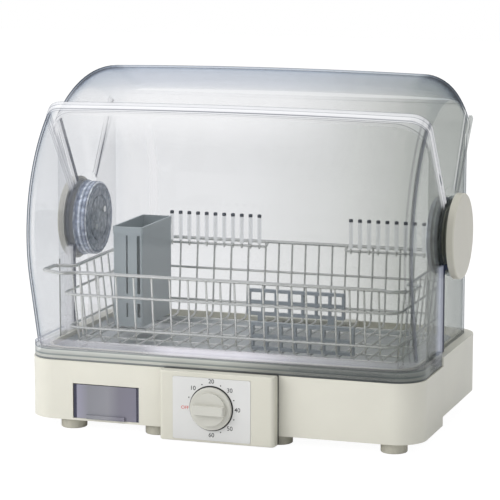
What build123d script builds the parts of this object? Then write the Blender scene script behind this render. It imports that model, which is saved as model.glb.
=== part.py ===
from build123d import *
import os
from math import acos, atan2, cos, degrees, hypot, radians, sin

# Dish dryer: an ivory base with a timer and a water receiver drawer, a clear fixed rear
# cover, a clear front lid that swings up about two side hubs, and a stainless basket.
# Millimetres. X to the right, Y to the back, Z up. The shapes are drawn from the middle of
# the base, on the surface that the feet stand on. Each is then moved back by half of what
# stands out further in front than behind, so that the origin is under the middle of the
# whole object.

# Base
base_width = 500.0
base_depth = 300.0
base_corner = 36.0
base_wall = 3.0
base_floor = 2.7
foot_height = 12.5
front_skirt = 73.5
rear_rise = 11.0
step_from_front = 113.0
coaming_rise = 2.0
coaming_wall = 3.0
coaming_side = 15.0
coaming_front = 17.0
coaming_rear = 6.0
coaming_corner = 34.0

front_y = -base_depth / 2
rear_y = base_depth / 2
side_x = base_width / 2
step_y = front_y + step_from_front
skirt_z = foot_height
rear_skirt_z = skirt_z + rear_rise
front_ledge_z = skirt_z + front_skirt
rear_ledge_z = front_ledge_z + rear_rise
deck_z = front_ledge_z
deck_under_z = deck_z - base_wall
coaming_z = rear_ledge_z + coaming_rise

# Bottom plate under the rear part of the base
bottom_plate_thick = 1.5
bottom_plate_fit = 0.5
bottom_plate_recess = 1.0
boss_diameter = 9.0
screw_diameter = 3.0
screw_hole_fit = 0.1
screw_head = 6.0
screw_head_height = 2.0
screw_length = 10.0
boss_side = 25.0
boss_from_step = 17.0
boss_rear = 25.0
intake_slot = 4.0
intake_pitch = 8.0
intake_count = 9
intake_length = 64.0

plate_under_z = rear_skirt_z + bottom_plate_recess
plate_top_z = plate_under_z + bottom_plate_thick

# Control box, timer and knob
control_width = 145.0
control_x = 5.0
control_depth = 18.0
control_clear = 2.0
control_rise = 1.0
control_wall = 2.5
control_edge = 5.0
plate_width = 98.0
plate_height = 76.0
plate_thick = 1.2
plate_recess = 0.8
plate_fit = 0.2
plate_corner = 2.0
plate_shift = -6.0
plate_from_top = 6.0
knob_diameter = 52.0
knob_depth = 15.0
knob_skirt = 4.0
knob_grip_width = 11.0
knob_core = 40.0
knob_gap = 0.6
knob_raise = 1.5
timer_width = 46.0
timer_height = 46.0
timer_depth = 30.0
timer_clear = 2.0
timer_ear = 6.0
timer_ear_thick = 2.0
shaft_diameter = 6.0
shaft_fit = 0.05
shaft_hole_fit = 0.6
shaft_in_timer = 16.0
shaft_in_knob = 9.0

control_x0 = control_x - control_width / 2
control_x1 = control_x + control_width / 2
control_front_y = front_y - control_depth
control_top_z = front_ledge_z + control_rise
plate_x = control_x + plate_shift
plate_z = control_top_z - plate_from_top - plate_height / 2
plate_front_y = control_front_y + plate_recess - plate_thick
knob_x = plate_x
knob_z = plate_z + knob_raise
timer_front_y = control_front_y + control_wall

# Feet
foot_diameter = 32.0
foot_edge = 1.5
foot_recess = 2.0
foot_hollow = 18.0
foot_front = 21.0
foot_rear = 38.0
foot_front_left = 56.0
foot_front_right = 36.0
foot_mid_left = 15.5
foot_mid_right = -5.5
foot_rear_left = 54.0
foot_rear_right = 46.0

foot_front_y = front_y + foot_front
foot_rear_y = rear_y - foot_rear
foot_front_x = (
    -side_x + foot_front_left, control_x0 - foot_mid_left,
    control_x1 + foot_mid_right, side_x - foot_front_right,
)
foot_rear_x = (-side_x + foot_rear_left, side_x - foot_rear_right)

# Water receiver drawer
drawer_from_side = 63.55
drawer_width = 85.5
drawer_height = 42.0
drawer_length = 105.0
drawer_wall = 2.0
drawer_run = 0.3
drawer_side_gap = 0.5
drawer_top_gap = 1.0
drawer_grip_depth = 3.0
drawer_grip_height = 5.0
drawer_grip_width = 50.0
pocket_wall = 2.0
drain_from_front = 55.0
drain_diameter = 26.0
drain_wall = 1.5
drain_gap = 1.5
drain_drop = 14.0

drawer_z0 = skirt_z + base_floor + drawer_run
drawer_z1 = drawer_z0 + drawer_height
drawer_x0 = -side_x + drawer_from_side
drawer_x1 = drawer_x0 + drawer_width
drawer_x = (drawer_x0 + drawer_x1) / 2
pocket_x0 = drawer_x0 - drawer_side_gap
pocket_x1 = drawer_x1 + drawer_side_gap
pocket_z1 = drawer_z1 + drawer_top_gap
pocket_y1 = front_y + drawer_length + drawer_side_gap
drain_x = drawer_x
drain_y = front_y + drain_from_front
spout_bore = drain_diameter + 2 * drain_gap

# Rear cover and front lid, surfaces of revolution about the hub axis
hub_rise = 139.0
crown = 4.0
shell = 2.5
lid_gap = 1.3
lid_overhang = 26.3
cover_side_inset = 11.5
cover_corner = 38.0
cover_front_angle = 41.0
cover_rear_angle = -36.0
cover_top_inset = 7.3
cover_side_reach = 93.0
cover_rear_gap = 2.0
cover_rear_corner = 36.0
cover_bend_drop = 113.6
cover_neck_in = 17.7
cover_neck_drop = 45.6
cover_lip_in = 2.7
cover_lip_drop = 32.6
cover_lip_height = 12.0
cover_lip_lean = 1.5
cover_foot_height = 10.0
cover_foot_thick = 3.0
fan_panel_depth = 0.8
fan_panel_angle = 32.0
fan_panel_inner = 60.0
fan_panel_outer = 168.0
stop_angle = -38.5
stop_spread = 2.5
stop_rise = 3.0
stop_outer = 172.0
sector_spare = 10.0
lid_side_gap = 2.0
lid_corner = 22.0
lid_top_angle = 36.5
lid_seat_inset = 8.5
lid_side_reach = 34.0
lid_side_foot = 30.0
lid_ring = 98.0
lid_ring_rise = 5.0
lid_seat_gap = 0.3
lid_flange_height = 18.0
lid_flange_inset = 1.5
lid_step_gap = 1.0
lid_bead_angle = 3.2
lid_bead_rise = 1.2
lid_bead_inner = 58.0

cover_reach = base_depth + lid_overhang - cover_top_inset - lid_gap - shell
cover_radius = cover_reach / (1 + sin(radians(-cover_rear_angle)))
cover_half_width = side_x - cover_side_inset
cover_rear_y = rear_y - cover_rear_gap
hub_y = front_y - lid_overhang + lid_gap + shell + cover_radius
hub_z = rear_ledge_z + hub_rise
cover_side_y = hub_y - cover_side_reach
dome_end_y = hub_y - cover_radius * sin(radians(cover_rear_angle))
dome_end_z = hub_z + cover_radius * cos(radians(cover_rear_angle))
cover_bend_z = dome_end_z - cover_bend_drop
cover_neck_y = dome_end_y - cover_neck_in
cover_neck_z = dome_end_z - cover_neck_drop
cover_lip_y = dome_end_y - cover_lip_in
cover_lip_z = dome_end_z - cover_lip_drop
lid_radius = cover_radius + lid_gap + shell
lid_half_width = cover_half_width + lid_side_gap + shell
lid_flange_z0 = front_ledge_z + lid_seat_gap
lid_flange_z1 = lid_flange_z0 + lid_flange_height
lid_side_top_y = hub_y - lid_side_reach
lid_side_low_y = step_y + lid_side_foot
lid_foot_reach = hub_y - front_y - lid_seat_inset
lid_foot_drop = hub_z - lid_flange_z0
lid_foot_turn = degrees(atan2(lid_foot_reach, -lid_foot_drop))
lid_low_angle = lid_foot_turn - degrees(acos(lid_radius / hypot(lid_foot_reach, lid_foot_drop)))

# Hubs
hub_cap_diameter = 105.5
hub_cap_depth = 9.0
hub_cap_wall = 2.5
hub_cap_edge = 2.0
hub_drum_diameter = 93.6
hub_drum_depth = 14.5
hub_drum_wall = 2.5
hub_drum_ring_width = 2.0
hub_drum_ring_depth = 0.6
hub_drum_rings = (58.0, 80.0)
hub_bearing_diameter = 72.0
hub_bearing_wall = 3.0
hub_bore_diameter = 62.0
hub_run = 0.08
hub_side_gap = 0.5
hub_screw_diameter = 4.0
hub_screw_head = 8.0
hub_screw_head_height = 2.4
hub_screw_boss = 10.0
hub_screw_offset = 17.0
hub_screw_length = 23.0
hub_screw_tip_gap = 1.0
hub_screw_angle = 35.0

cover_inner_x = cover_half_width - shell
hub_cap_x0 = lid_half_width + lid_ring_rise + hub_side_gap
hub_cap_x1 = hub_cap_x0 + hub_cap_depth
hub_drum_face = cover_inner_x - hub_drum_depth

# Blower, heater and electric parts in the base
fan_from_side = 86.0
fan_from_rear = 98.0
scroll_radius = 60.0
scroll_wall = 2.0
scroll_height = 28.0
scroll_inlet = 64.0
scroll_mouth_reach = 66.0
scroll_mouth_set = 18.0
impeller_radius = 46.0
impeller_ring = 9.0
impeller_run = 3.0
impeller_plate = 1.5
impeller_hub = 12.0
blade_count = 24
blade_thick = 1.0
blade_inset = 1.0
blade_twist = 25.0
motor_shaft_diameter = 5.0
motor_fit = 0.05
motor_drop = 21.0
stator_height = 16.0
stator_width = 52.0
stator_depth = 40.0
stator_bore = 24.0
rotor_gap = 0.5
rotor_end_gap = 1.0
bracket_thick = 1.5
bracket_width = 16.0
bracket_reach = 38.0
bracket_post = 8.0
duct_wall = 1.6
duct_over = 2.0
duct_past_outlet = 4.0
heater_from_mouth = (110.0, 60.0)
heater_plate = 1.0
heater_fit = 0.4
heater_wire = 1.6
heater_wire_fit = 0.15
heater_rise = (9.0, 18.0)
heater_runs = 5
heater_pitch = 7.0
thermostat_diameter = 16.0
thermostat_depth = 8.0
thermostat_from_mouth = 84.0
fuse_diameter = 4.0
fuse_length = 12.0
fuse_from_mouth = 62.0
terminal_from_side = 54.0
terminal_from_step = 31.0
terminal_size = (34.0, 16.0, 12.0)
terminal_pitch = 10.0
cord_bush_from_side = 60.0
cord_bush_rise = 24.0
cord_bush_diameter = 15.0
cord_bush_flange = 20.0
cord_bush_flange_thick = 2.5
cord_bush_fit = 0.05
cord_bore = 7.0

fan_x = side_x - fan_from_side
fan_y = rear_y - fan_from_rear
scroll_z0 = deck_under_z - scroll_height
scroll_mouth_x = fan_x - scroll_mouth_reach
scroll_mouth_y0 = fan_y + scroll_mouth_set
impeller_z0 = scroll_z0 + scroll_wall + impeller_run
impeller_z1 = deck_under_z - scroll_wall - impeller_run
motor_z0 = scroll_z0 - motor_drop
stator_z1 = motor_z0 + stator_height
heater_x = tuple(scroll_mouth_x - reach for reach in heater_from_mouth)
heater_rows = tuple(scroll_z0 + rise for rise in heater_rise)
thermostat_x = scroll_mouth_x - thermostat_from_mouth
fuse_x = scroll_mouth_x - fuse_from_mouth
terminal_x = side_x - terminal_from_side
terminal_y = step_y + terminal_from_step
cord_bush_x = side_x - cord_bush_from_side
cord_bush_z = plate_top_z + cord_bush_rise

# Drain tray and air outlet
tray_thick = 0.8
tray_seat = 0.3
tray_side_gap = 1.0
tray_wall_height = 8.0
tray_corner = 30.0
tray_rear_gap = 5.0
outlet_width = 144.0
outlet_depth = 20.0
outlet_rear_gap = 2.0
outlet_height = 15.0
outlet_wall = 1.6
outlet_slot = 3.0
outlet_slot_pitch = 7.0
outlet_slot_height = 8.0

outlet_x1 = scroll_mouth_x - duct_past_outlet
outlet_x0 = outlet_x1 - outlet_width
outlet_y1 = rear_y - coaming_rear - coaming_wall - outlet_rear_gap
outlet_y0 = outlet_y1 - outlet_depth
tray_half = side_x - coaming_side - coaming_wall - tray_side_gap
tray_front_y = front_y + coaming_front + coaming_wall + tray_side_gap
tray_rear_y = outlet_y0 - tray_rear_gap
tray_z0 = deck_z + tray_seat
tray_z1 = tray_z0 + tray_thick
duct_x0 = outlet_x0 - duct_past_outlet
duct_x1 = scroll_mouth_x
duct_y0 = scroll_mouth_y0
duct_y1 = outlet_y1 + duct_over

# Basket
wire = 2.6
rim_wire = 4.4
ring_wire = 3.2
weld_gap = 0.03
basket_side_clear = 2.9
basket_from_front = 34.0
basket_from_rear = 33.0
basket_lean = 9.0
basket_floor_rise = 14.4
front_rim_rise = 88.0
side_rim_rise = 88.5
rear_rim_rise = 99.5
mid_ring_rise = 60.5
low_ring_rise = 18.5
basket_corner = 16.0
basket_bend = 12.0
bend_end = 1.0
rim_bend = 9.0
rim_rear_in = 6.0
wire_from_side = 15.2
wire_margin = 14.0
wide_pitch = 23.4
narrow_pitch = 18.0
narrow_start = -8.0
side_pitch = 24.0
side_wire_from_front = 23.0
side_wire_from_rear = 20.0
ear_clear = 6.5
ear_rise = 3.0
ear_out = 20.0
ear_inner = 20.0
ear_turn = 6.0
ear_dip = 1.0
ear_nose = 8.0
ear_cheek = 26.0
ear_tail = 44.0
rest_gap = 0.3
rail_pitch = 60.0
basket_foot_from_front = 37.0
basket_foot_from_rear = 38.0
basket_foot_half = 12.0

basket_half_top = hub_drum_face - hub_screw_head_height - basket_side_clear - rim_wire / 2
basket_half_bottom = basket_half_top - basket_lean
basket_front_top = front_y + basket_from_front
basket_front_bottom = basket_front_top + basket_lean
basket_rear_top = rear_y - basket_from_rear
basket_rear_bottom = basket_rear_top - basket_lean
basket_floor_z = tray_z1 + basket_floor_rise
front_rim_z = basket_floor_z + front_rim_rise
side_rim_z = basket_floor_z + side_rim_rise
rear_rim_z = basket_floor_z + rear_rim_rise
mid_ring_z = basket_floor_z + mid_ring_rise
low_ring_z = basket_floor_z + low_ring_rise
base_ring_z = basket_floor_z - (wire + ring_wire) / 2 - weld_gap
front_wire_z = front_rim_z - rim_wire / 2 - weld_gap
rear_wire_z = rear_rim_z - rim_wire / 2 - weld_gap
side_wire_z = side_rim_z - rim_wire / 2 - weld_gap
side_foot_z = base_ring_z + ring_wire / 2 + weld_gap
floor_top_z = basket_floor_z + wire / 2
wide_start = -basket_half_bottom + wire_from_side
wide_count = int((narrow_start - wide_start) // wide_pitch) + 1
narrow_count = int((basket_half_bottom - wire_margin - narrow_start) // narrow_pitch) + 1
side_start = basket_front_bottom + side_wire_from_front
side_count = int((basket_rear_bottom - side_wire_from_rear - side_start) // side_pitch) + 1
ear_x = lid_half_width - shell - ear_clear
basket_foot_y = (basket_front_bottom + basket_foot_from_front, basket_rear_bottom - basket_foot_from_rear)

# Cup pins
pin_pitch = 12.0
pin_left_from_side = 63.3
pin_left_count = 11
pin_right_from_side = 26.0
pin_right_count = 9
pin_from_rim = 13.0
pin_drop = 8.0
pin_rise = 33.0
pin_bar_drop = 5.0
pin_bar_over = 8.0
pin_bar_bend = 2.0
pin_hook_rise = 3.0
pin_sleeve = 5.2
pin_sleeve_fit = 0.05
pin_sleeve_drop = 1.5
pin_tip_height = 4.0

pin_left_x = -basket_half_top + pin_left_from_side
pin_right_x = basket_half_top - pin_right_from_side - (pin_right_count - 1) * pin_pitch
pin_y = basket_rear_top - pin_from_rim
pin_low_z = rear_rim_z - pin_drop
pin_top_z = rear_rim_z + pin_rise
pin_bar_z = rear_rim_z - pin_bar_drop
pin_sleeve_z = rear_rim_z - pin_sleeve_drop

# Cutlery box
cutlery_from_side = 15.0
cutlery_width = 40.0
cutlery_length = 106.0
cutlery_from_pins = 4.0
cutlery_height = 128.0
cutlery_wall = 1.8
cutlery_corner = 3.0
cutlery_slot = 5.0
cutlery_slot_pitch = 12.0
cutlery_front_slots = ((0.47, 2.4), (0.86, 4.2))
cutlery_low_row = (12.0, 30.0)
cutlery_high_row = (42.0, 117.0)
cutlery_band_height = 9.5
cutlery_band_out = 0.6

cutlery_x0 = -basket_half_bottom + cutlery_from_side
cutlery_x1 = cutlery_x0 + cutlery_width
cutlery_y1 = pin_y - cutlery_from_pins
cutlery_y0 = cutlery_y1 - cutlery_length

# Plate stands
stand_length = 130.0
stand_height = 34.0
stand_thick = 6.0
stand_pitch = 18.0
stand_rib = 3.0
stand_rail = 4.0
stand_windows = 7
stand_front_x = 88.0
stand_front_set = 17.0
stand_rear_x = 25.0
stand_rear_set = 22.0
stand_rear_rise = 7.0

stand_front_y = basket_front_bottom + stand_front_set
stand_rear_y = basket_rear_bottom - stand_rear_set


def box(x0, x1, y0, y1, z0, z1):
    """A block between two corners."""
    block = Box(x1 - x0, y1 - y0, z1 - z0)
    return Pos((x0 + x1) / 2, (y0 + y1) / 2, (z0 + z1) / 2) * block


def slab(x0, x1, y0, y1, corner, z0, z1):
    """A block whose four upright edges are rounded."""
    outline = RectangleRounded(x1 - x0, y1 - y0, corner)
    return extrude(Pos((x0 + x1) / 2, (y0 + y1) / 2, z0) * outline, z1 - z0)


def upright(x, y, diameter, z0, z1):
    """A cylinder that stands along Z."""
    return Pos(x, y, (z0 + z1) / 2) * Cylinder(diameter / 2, z1 - z0)


def along_x(y, z, diameter, x0, x1):
    """A cylinder that lies along X."""
    return Pos((x0 + x1) / 2, y, z) * Rot(0, 90, 0) * Cylinder(diameter / 2, abs(x1 - x0))


def along_y(x, z, diameter, y0, y1):
    """A cylinder that lies along Y."""
    return Pos(x, (y0 + y1) / 2, z) * Rot(90, 0, 0) * Cylinder(diameter / 2, abs(y1 - y0))


def tube(points, radius, diameter, closed=False):
    """A round wire along straight runs joined by arcs."""
    if radius:
        path = FilletPolyline(*points, radius=radius, close=closed)
    else:
        path = Polyline(*points)
    return sweep(Plane(path @ 0, z_dir=path % 0) * Circle(diameter / 2), path=path)


def side_prism(points, x0, x1):
    """A shape drawn in the side view, with points as (y, z), from x0 to x1."""
    face = make_face(Polyline(*points, close=True))
    return extrude(Plane((x0, 0, 0), x_dir=(0, 1, 0), z_dir=(1, 0, 0)) * face, x1 - x0)


def around_hub(angle, radius):
    """The point (y, z) at an angle forward of straight up from the hub axis."""
    return (hub_y - radius * sin(radians(angle)), hub_z + radius * cos(radians(angle)))


def group(pieces):
    """Several separate solids in one node."""
    return Compound(children=[solid for piece in pieces for solid in piece.solids()])


def both_sides(shape):
    """The shape on the right and its mirror image on the left."""
    return (shape, mirror(shape, about=Plane.YZ))


def meridian(angle, radius, half_width, corner):
    """The outline of the drum shape, from the hub axis outwards, at one angle."""
    end_radius = radius - crown * (half_width / base_width * 2) ** 2
    top = ThreePointArc((-half_width, end_radius), (0, radius), (half_width, end_radius))
    right_end = (half_width, end_radius)
    left_end = (-half_width, end_radius)
    sides = Polyline(right_end, (half_width, 0), (-half_width, 0), left_end)
    outline = make_face(top + sides)
    corners = [v for v in outline.vertices() if v.Y > radius / 2]
    outline = fillet(corners, corner)
    tilt = radians(angle)
    return Plane((0, hub_y, hub_z), x_dir=(1, 0, 0), z_dir=(0, -cos(tilt), -sin(tilt))) * outline


def drum_sector(angle0, angle1, radius, half_width, corner):
    """A sector of the drum shape between two angles forward of straight up."""
    start = meridian(angle0, radius, half_width, corner)
    axis = Axis((0, hub_y, hub_z), (1, 0, 0))
    return revolve(start, axis=axis, revolution_arc=angle1 - angle0)


def base_block(inset, z0_front, z1_front, z0_rear, z1_rear, split_y):
    """The stepped outline of the base, drawn in by inset."""
    x1 = side_x - inset
    front = slab(-x1, x1, front_y + inset, rear_y - inset, base_corner - inset, z0_front, z1_front)
    rear = slab(-x1, x1, front_y + inset, rear_y - inset, base_corner - inset, z0_rear, z1_rear)
    front_half = front & box(-base_width, base_width, -base_depth, split_y, z0_front, z1_front)
    rear_half = rear & box(-base_width, base_width, split_y, base_depth, z0_rear, z1_rear)
    return front_half + rear_half


def coaming_block(inset, z0, z1):
    """The outline of the raised wall round the deck, as a full block."""
    x1 = side_x - coaming_side - inset
    y0 = front_y + coaming_front + inset
    y1 = rear_y - coaming_rear - inset
    return slab(-x1, x1, y0, y1, coaming_corner - inset, z0, z1)


def boss_places():
    """The places of the four screw bosses over the bottom plate."""
    x1 = side_x - boss_side
    return [(x, y) for x in (-x1, x1) for y in (step_y + boss_from_step, rear_y - boss_rear)]


def base_housing():
    """Ivory moulding: stepped skirt, deck with its raised wall, drawer pocket and screw bosses."""
    under = front_ledge_z - base_wall
    rear_under = rear_ledge_z - base_wall
    body = base_block(0, skirt_z, front_ledge_z, rear_skirt_z, rear_ledge_z, step_y)
    rear_room = slab(
        -side_x + base_wall, side_x - base_wall, front_y + base_wall, rear_y - base_wall,
        base_corner - base_wall, skirt_z - base_wall, rear_under,
    )
    front_room = rear_room & box(
        -base_width, base_width, -base_depth, step_y, skirt_z + base_floor, under
    )
    partition = box(-base_width, base_width, step_y - base_wall, step_y, 0, plate_top_z)
    back_room = rear_room & box(-base_width, base_width, step_y, base_depth, 0, rear_under)
    body = body - (front_room - partition) - back_room
    body = body - coaming_block(0, under - base_wall, coaming_z + base_wall)
    pan = coaming_block(0, deck_under_z, coaming_z)
    pan = pan - coaming_block(coaming_wall, deck_z, coaming_z + base_wall)
    body = body + pan
    for x, y in boss_places():
        body = body + upright(x, y, boss_diameter, plate_top_z, deck_under_z)
    pocket = box(
        pocket_x0 - pocket_wall, pocket_x1 + pocket_wall, front_y + base_wall, pocket_y1 + pocket_wall,
        skirt_z + base_floor, pocket_z1 + pocket_wall,
    )
    body = body + pocket
    spout = upright(drain_x, drain_y, spout_bore + 2 * drain_wall, pocket_z1 + pocket_wall, deck_under_z)
    body = body + spout
    room = box(pocket_x0, pocket_x1, front_y - base_wall, pocket_y1, skirt_z + base_floor, pocket_z1)
    body = body - room
    body = body - upright(drain_x, drain_y, spout_bore, pocket_z1 - pocket_wall, deck_z + base_wall)
    hole_half = timer_width / 2 + timer_clear + timer_ear
    timer_hole = box(
        knob_x - hole_half, knob_x + hole_half, front_y - base_wall, front_y + 2 * base_wall,
        knob_z - timer_height / 2 - timer_clear, knob_z + timer_height / 2 + timer_clear,
    )
    body = body - timer_hole
    vent = box(
        outlet_x0 + outlet_wall, outlet_x1 - outlet_wall, outlet_y0 + outlet_wall, outlet_y1 - outlet_wall,
        deck_under_z - base_wall, deck_z + base_wall,
    )
    body = body - vent
    for x, y in boss_places():
        body = body - upright(x, y, screw_diameter + screw_hole_fit, 0, plate_top_z + screw_length)
    return body - along_y(
        cord_bush_x, cord_bush_z, cord_bush_diameter, rear_y - 2 * base_wall, rear_y + base_wall
    )


def base_bottom_plate():
    """Steel plate under the rear part of the base, slotted under the blower."""
    inset = base_wall + bottom_plate_fit
    plate = slab(
        -side_x + inset, side_x - inset, front_y + inset, rear_y - inset,
        base_corner - inset, plate_under_z, plate_top_z,
    )
    y0 = step_y + bottom_plate_fit
    plate = plate & box(-base_width, base_width, y0, base_depth, plate_under_z, plate_top_z)
    for x, y in boss_places():
        plate = plate - upright(x, y, screw_diameter + screw_hole_fit, 0, rear_ledge_z)
    first = fan_x - intake_pitch * (intake_count - 1) / 2
    for i in range(intake_count):
        x = first + i * intake_pitch
        slot = SlotOverall(intake_length, intake_slot)
        plate = plate - extrude(Pos(x, fan_y, 0) * Rot(0, 0, 90) * slot, rear_ledge_z)
    return plate


def bottom_plate_screws():
    """Four pan-head screws that hold the bottom plate to the bosses."""
    screws = []
    for x, y in boss_places():
        head = upright(x, y, screw_head, plate_under_z - screw_head_height, plate_under_z)
        shank = upright(x, y, screw_diameter, plate_under_z, plate_under_z + screw_length)
        screws.append(head + shank)
    return group(screws)


def foot(x, y, z1):
    """Rubber foot: a short round pad with a soft lower edge and a hollow under it."""
    pad = upright(x, y, foot_diameter, 0, z1)
    pad = fillet(pad.edges().filter_by(GeomType.CIRCLE).sort_by(Axis.Z)[0], foot_edge)
    return pad - upright(x, y, foot_hollow, -foot_recess, foot_recess)


def control_box():
    """Ivory cover in front of the base that carries the face plate and the timer."""
    z0 = control_clear
    outer = box(control_x0, control_x1, control_front_y, front_y, z0, control_top_z)
    outer = fillet(outer.edges().filter_by(Axis.Z).group_by(Axis.Y)[0], control_edge)
    outer = fillet(outer.faces().sort_by(Axis.Y)[0].edges(), control_edge / 3)
    inner = box(
        control_x0 + control_wall, control_x1 - control_wall, control_front_y + control_wall,
        front_y + control_wall, z0 + control_wall, control_top_z - control_wall,
    )
    body = outer - inner
    w = plate_width / 2 + plate_fit
    h = plate_height / 2 + plate_fit
    recess = box(
        plate_x - w, plate_x + w, control_front_y - control_wall, control_front_y + plate_recess,
        plate_z - h, plate_z + h,
    )
    body = body - recess
    hole = shaft_diameter + 2 * shaft_hole_fit
    y0 = control_front_y - control_wall
    return body - along_y(knob_x, knob_z, hole, y0, timer_front_y + control_wall)


def face_plate():
    """Thin printed plate behind the knob."""
    plate = Box(plate_width, plate_thick, plate_height)
    plate = fillet(plate.edges().filter_by(Axis.Y), plate_corner)
    plate = Pos(plate_x, plate_front_y + plate_thick / 2, plate_z) * plate
    hole = shaft_diameter + 2 * shaft_hole_fit
    y0 = plate_front_y - plate_thick
    return plate - along_y(knob_x, knob_z, hole, y0, plate_front_y + 2 * plate_thick)


def timer_body():
    """Clockwork timer: a closed case with two fixing ears, bored for its shaft."""
    y1 = timer_front_y + timer_depth
    case = box(
        knob_x - timer_width / 2, knob_x + timer_width / 2, timer_front_y, y1,
        knob_z - timer_height / 2, knob_z + timer_height / 2,
    )
    reach = timer_width / 2 + timer_ear
    ears = box(
        knob_x - reach, knob_x + reach, timer_front_y, timer_front_y + timer_ear_thick,
        knob_z - timer_ear, knob_z + timer_ear,
    )
    bore = shaft_diameter + 2 * shaft_fit
    y0 = timer_front_y - control_wall
    return case + ears - along_y(knob_x, knob_z, bore, y0, timer_front_y + shaft_in_timer + knob_gap)


def knob_planes():
    """Front and back of the knob along Y."""
    back = plate_front_y - knob_gap
    return back - knob_depth, back


def timer_shaft():
    """Steel shaft from the timer to the knob."""
    front, back = knob_planes()
    return along_y(knob_x, knob_z, shaft_diameter, back - shaft_in_knob, timer_front_y + shaft_in_timer)


def timer_knob():
    """Round knob: a low skirt and a raised wedge-shaped grip across the middle."""
    front, back = knob_planes()
    skirt_front = back - knob_skirt
    skirt = along_y(knob_x, knob_z, knob_diameter, skirt_front, back)
    skirt = fillet(skirt.edges().sort_by(Axis.Y)[0], knob_skirt / 3)
    core = along_y(knob_x, knob_z, knob_core, front, skirt_front)
    core = fillet(core.edges().sort_by(Axis.Y)[0], knob_skirt / 2)
    half = knob_grip_width / 2
    r = knob_core
    low = front + knob_grip_width
    upper = box(knob_x - r, knob_x + r, front - 1, skirt_front - knob_skirt / 4, knob_z + half, knob_z + r)
    lower = box(knob_x - r, knob_x + r, front - 1, skirt_front - knob_skirt / 4, knob_z - r, knob_z - half)
    grip = core - upper - lower
    dome = core & box(knob_x - r, knob_x + r, low - knob_skirt, back, knob_z - r, knob_z + r)
    body = skirt + grip + dome
    return body - along_y(knob_x, knob_z, shaft_diameter + 2 * shaft_fit, back - shaft_in_knob, back + 1)


def water_receiver():
    """Clear drawer that catches the water from the drain, with a finger grip along its front."""
    y0 = front_y
    y1 = front_y + drawer_length
    body = box(drawer_x0, drawer_x1, y0, y1, drawer_z0, drawer_z1)
    body = fillet(body.edges().filter_by(Axis.Z), drawer_wall)
    body = body - box(
        drawer_x0 + drawer_wall, drawer_x1 - drawer_wall, y0 + drawer_wall, y1 - drawer_wall,
        drawer_z0 + drawer_wall, drawer_z1 + drawer_wall,
    )
    w = drawer_grip_width / 2
    grip = box(
        drawer_x - w, drawer_x + w, y0 - drawer_grip_depth, y0 + drawer_wall / 2,
        drawer_z0, drawer_z0 + drawer_grip_height,
    )
    grip = fillet(grip.edges().filter_by(Axis.X).group_by(Axis.Y)[0], drawer_grip_depth / 3)
    return body + grip


def rear_cover_form(inset):
    """The rear cover as a full block, drawn in by inset, open at the front and below."""
    radius = cover_radius - inset
    half_width = cover_half_width - inset
    dome = drum_sector(
        cover_rear_angle, cover_front_angle + sector_spare, radius, half_width, cover_corner - inset
    )
    past = cover_side_y - 2 * sector_spare
    lip_top = cover_lip_z + cover_lip_height
    points = (
        (past, hub_z / 4), (cover_rear_y, hub_z / 4), (cover_rear_y, cover_bend_z),
        (cover_neck_y, cover_neck_z), (cover_lip_y, cover_lip_z), (cover_lip_y + cover_lip_lean, lip_top),
        around_hub(cover_rear_angle, cover_radius - 2 * crown), around_hub(0, cover_radius / 2),
        (past, hub_z + cover_radius / 2),
    )
    face = make_face(Polyline(*points, close=True))
    if inset:
        face = offset(face, amount=-inset, kind=Kind.INTERSECTION)
    wall = extrude(Plane((-half_width, 0, 0), x_dir=(0, 1, 0), z_dir=(1, 0, 0)) * face, 2 * half_width)
    bound = slab(
        -half_width, half_width, -base_depth, cover_rear_y - inset, cover_rear_corner - inset,
        0, cover_neck_z,
    )
    drum = drum_sector(-90, 90, radius, half_width, cover_corner - inset)
    above = box(-base_width, base_width, -base_depth, base_depth, cover_neck_z, hub_z + cover_radius)
    return dome + (wall & bound) + (wall & drum & above)


def cover_stop(side):
    """The ridge on the end wall that the open lid comes up against."""
    a0 = stop_angle - stop_spread / 2
    a1 = stop_angle + stop_spread / 2
    points = (
        around_hub(a0, fan_panel_inner), around_hub(a0, stop_outer),
        around_hub(a1, stop_outer), around_hub(a1, fan_panel_inner),
    )
    x0 = cover_half_width - shell / 2
    ridge = side_prism(points, x0, cover_half_width + stop_rise)
    return ridge if side > 0 else mirror(ridge, about=Plane.YZ)


def fan_panel(side):
    """The fan-shaped hollow in the outer face of the end wall, between the hub and the rim."""
    reach = 2 * cover_radius
    wedge = side_prism(
        ((hub_y, hub_z), around_hub(fan_panel_angle, reach), around_hub(-fan_panel_angle, reach)),
        cover_half_width - fan_panel_depth, cover_half_width + shell,
    )
    x0 = cover_half_width - fan_panel_depth
    ring = along_x(hub_y, hub_z, 2 * fan_panel_outer, x0, x0 + 2 * shell)
    ring = ring - along_x(hub_y, hub_z, 2 * fan_panel_inner, x0 - shell, x0 + 3 * shell)
    panel = wedge & ring
    return panel if side > 0 else mirror(panel, about=Plane.YZ)


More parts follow.
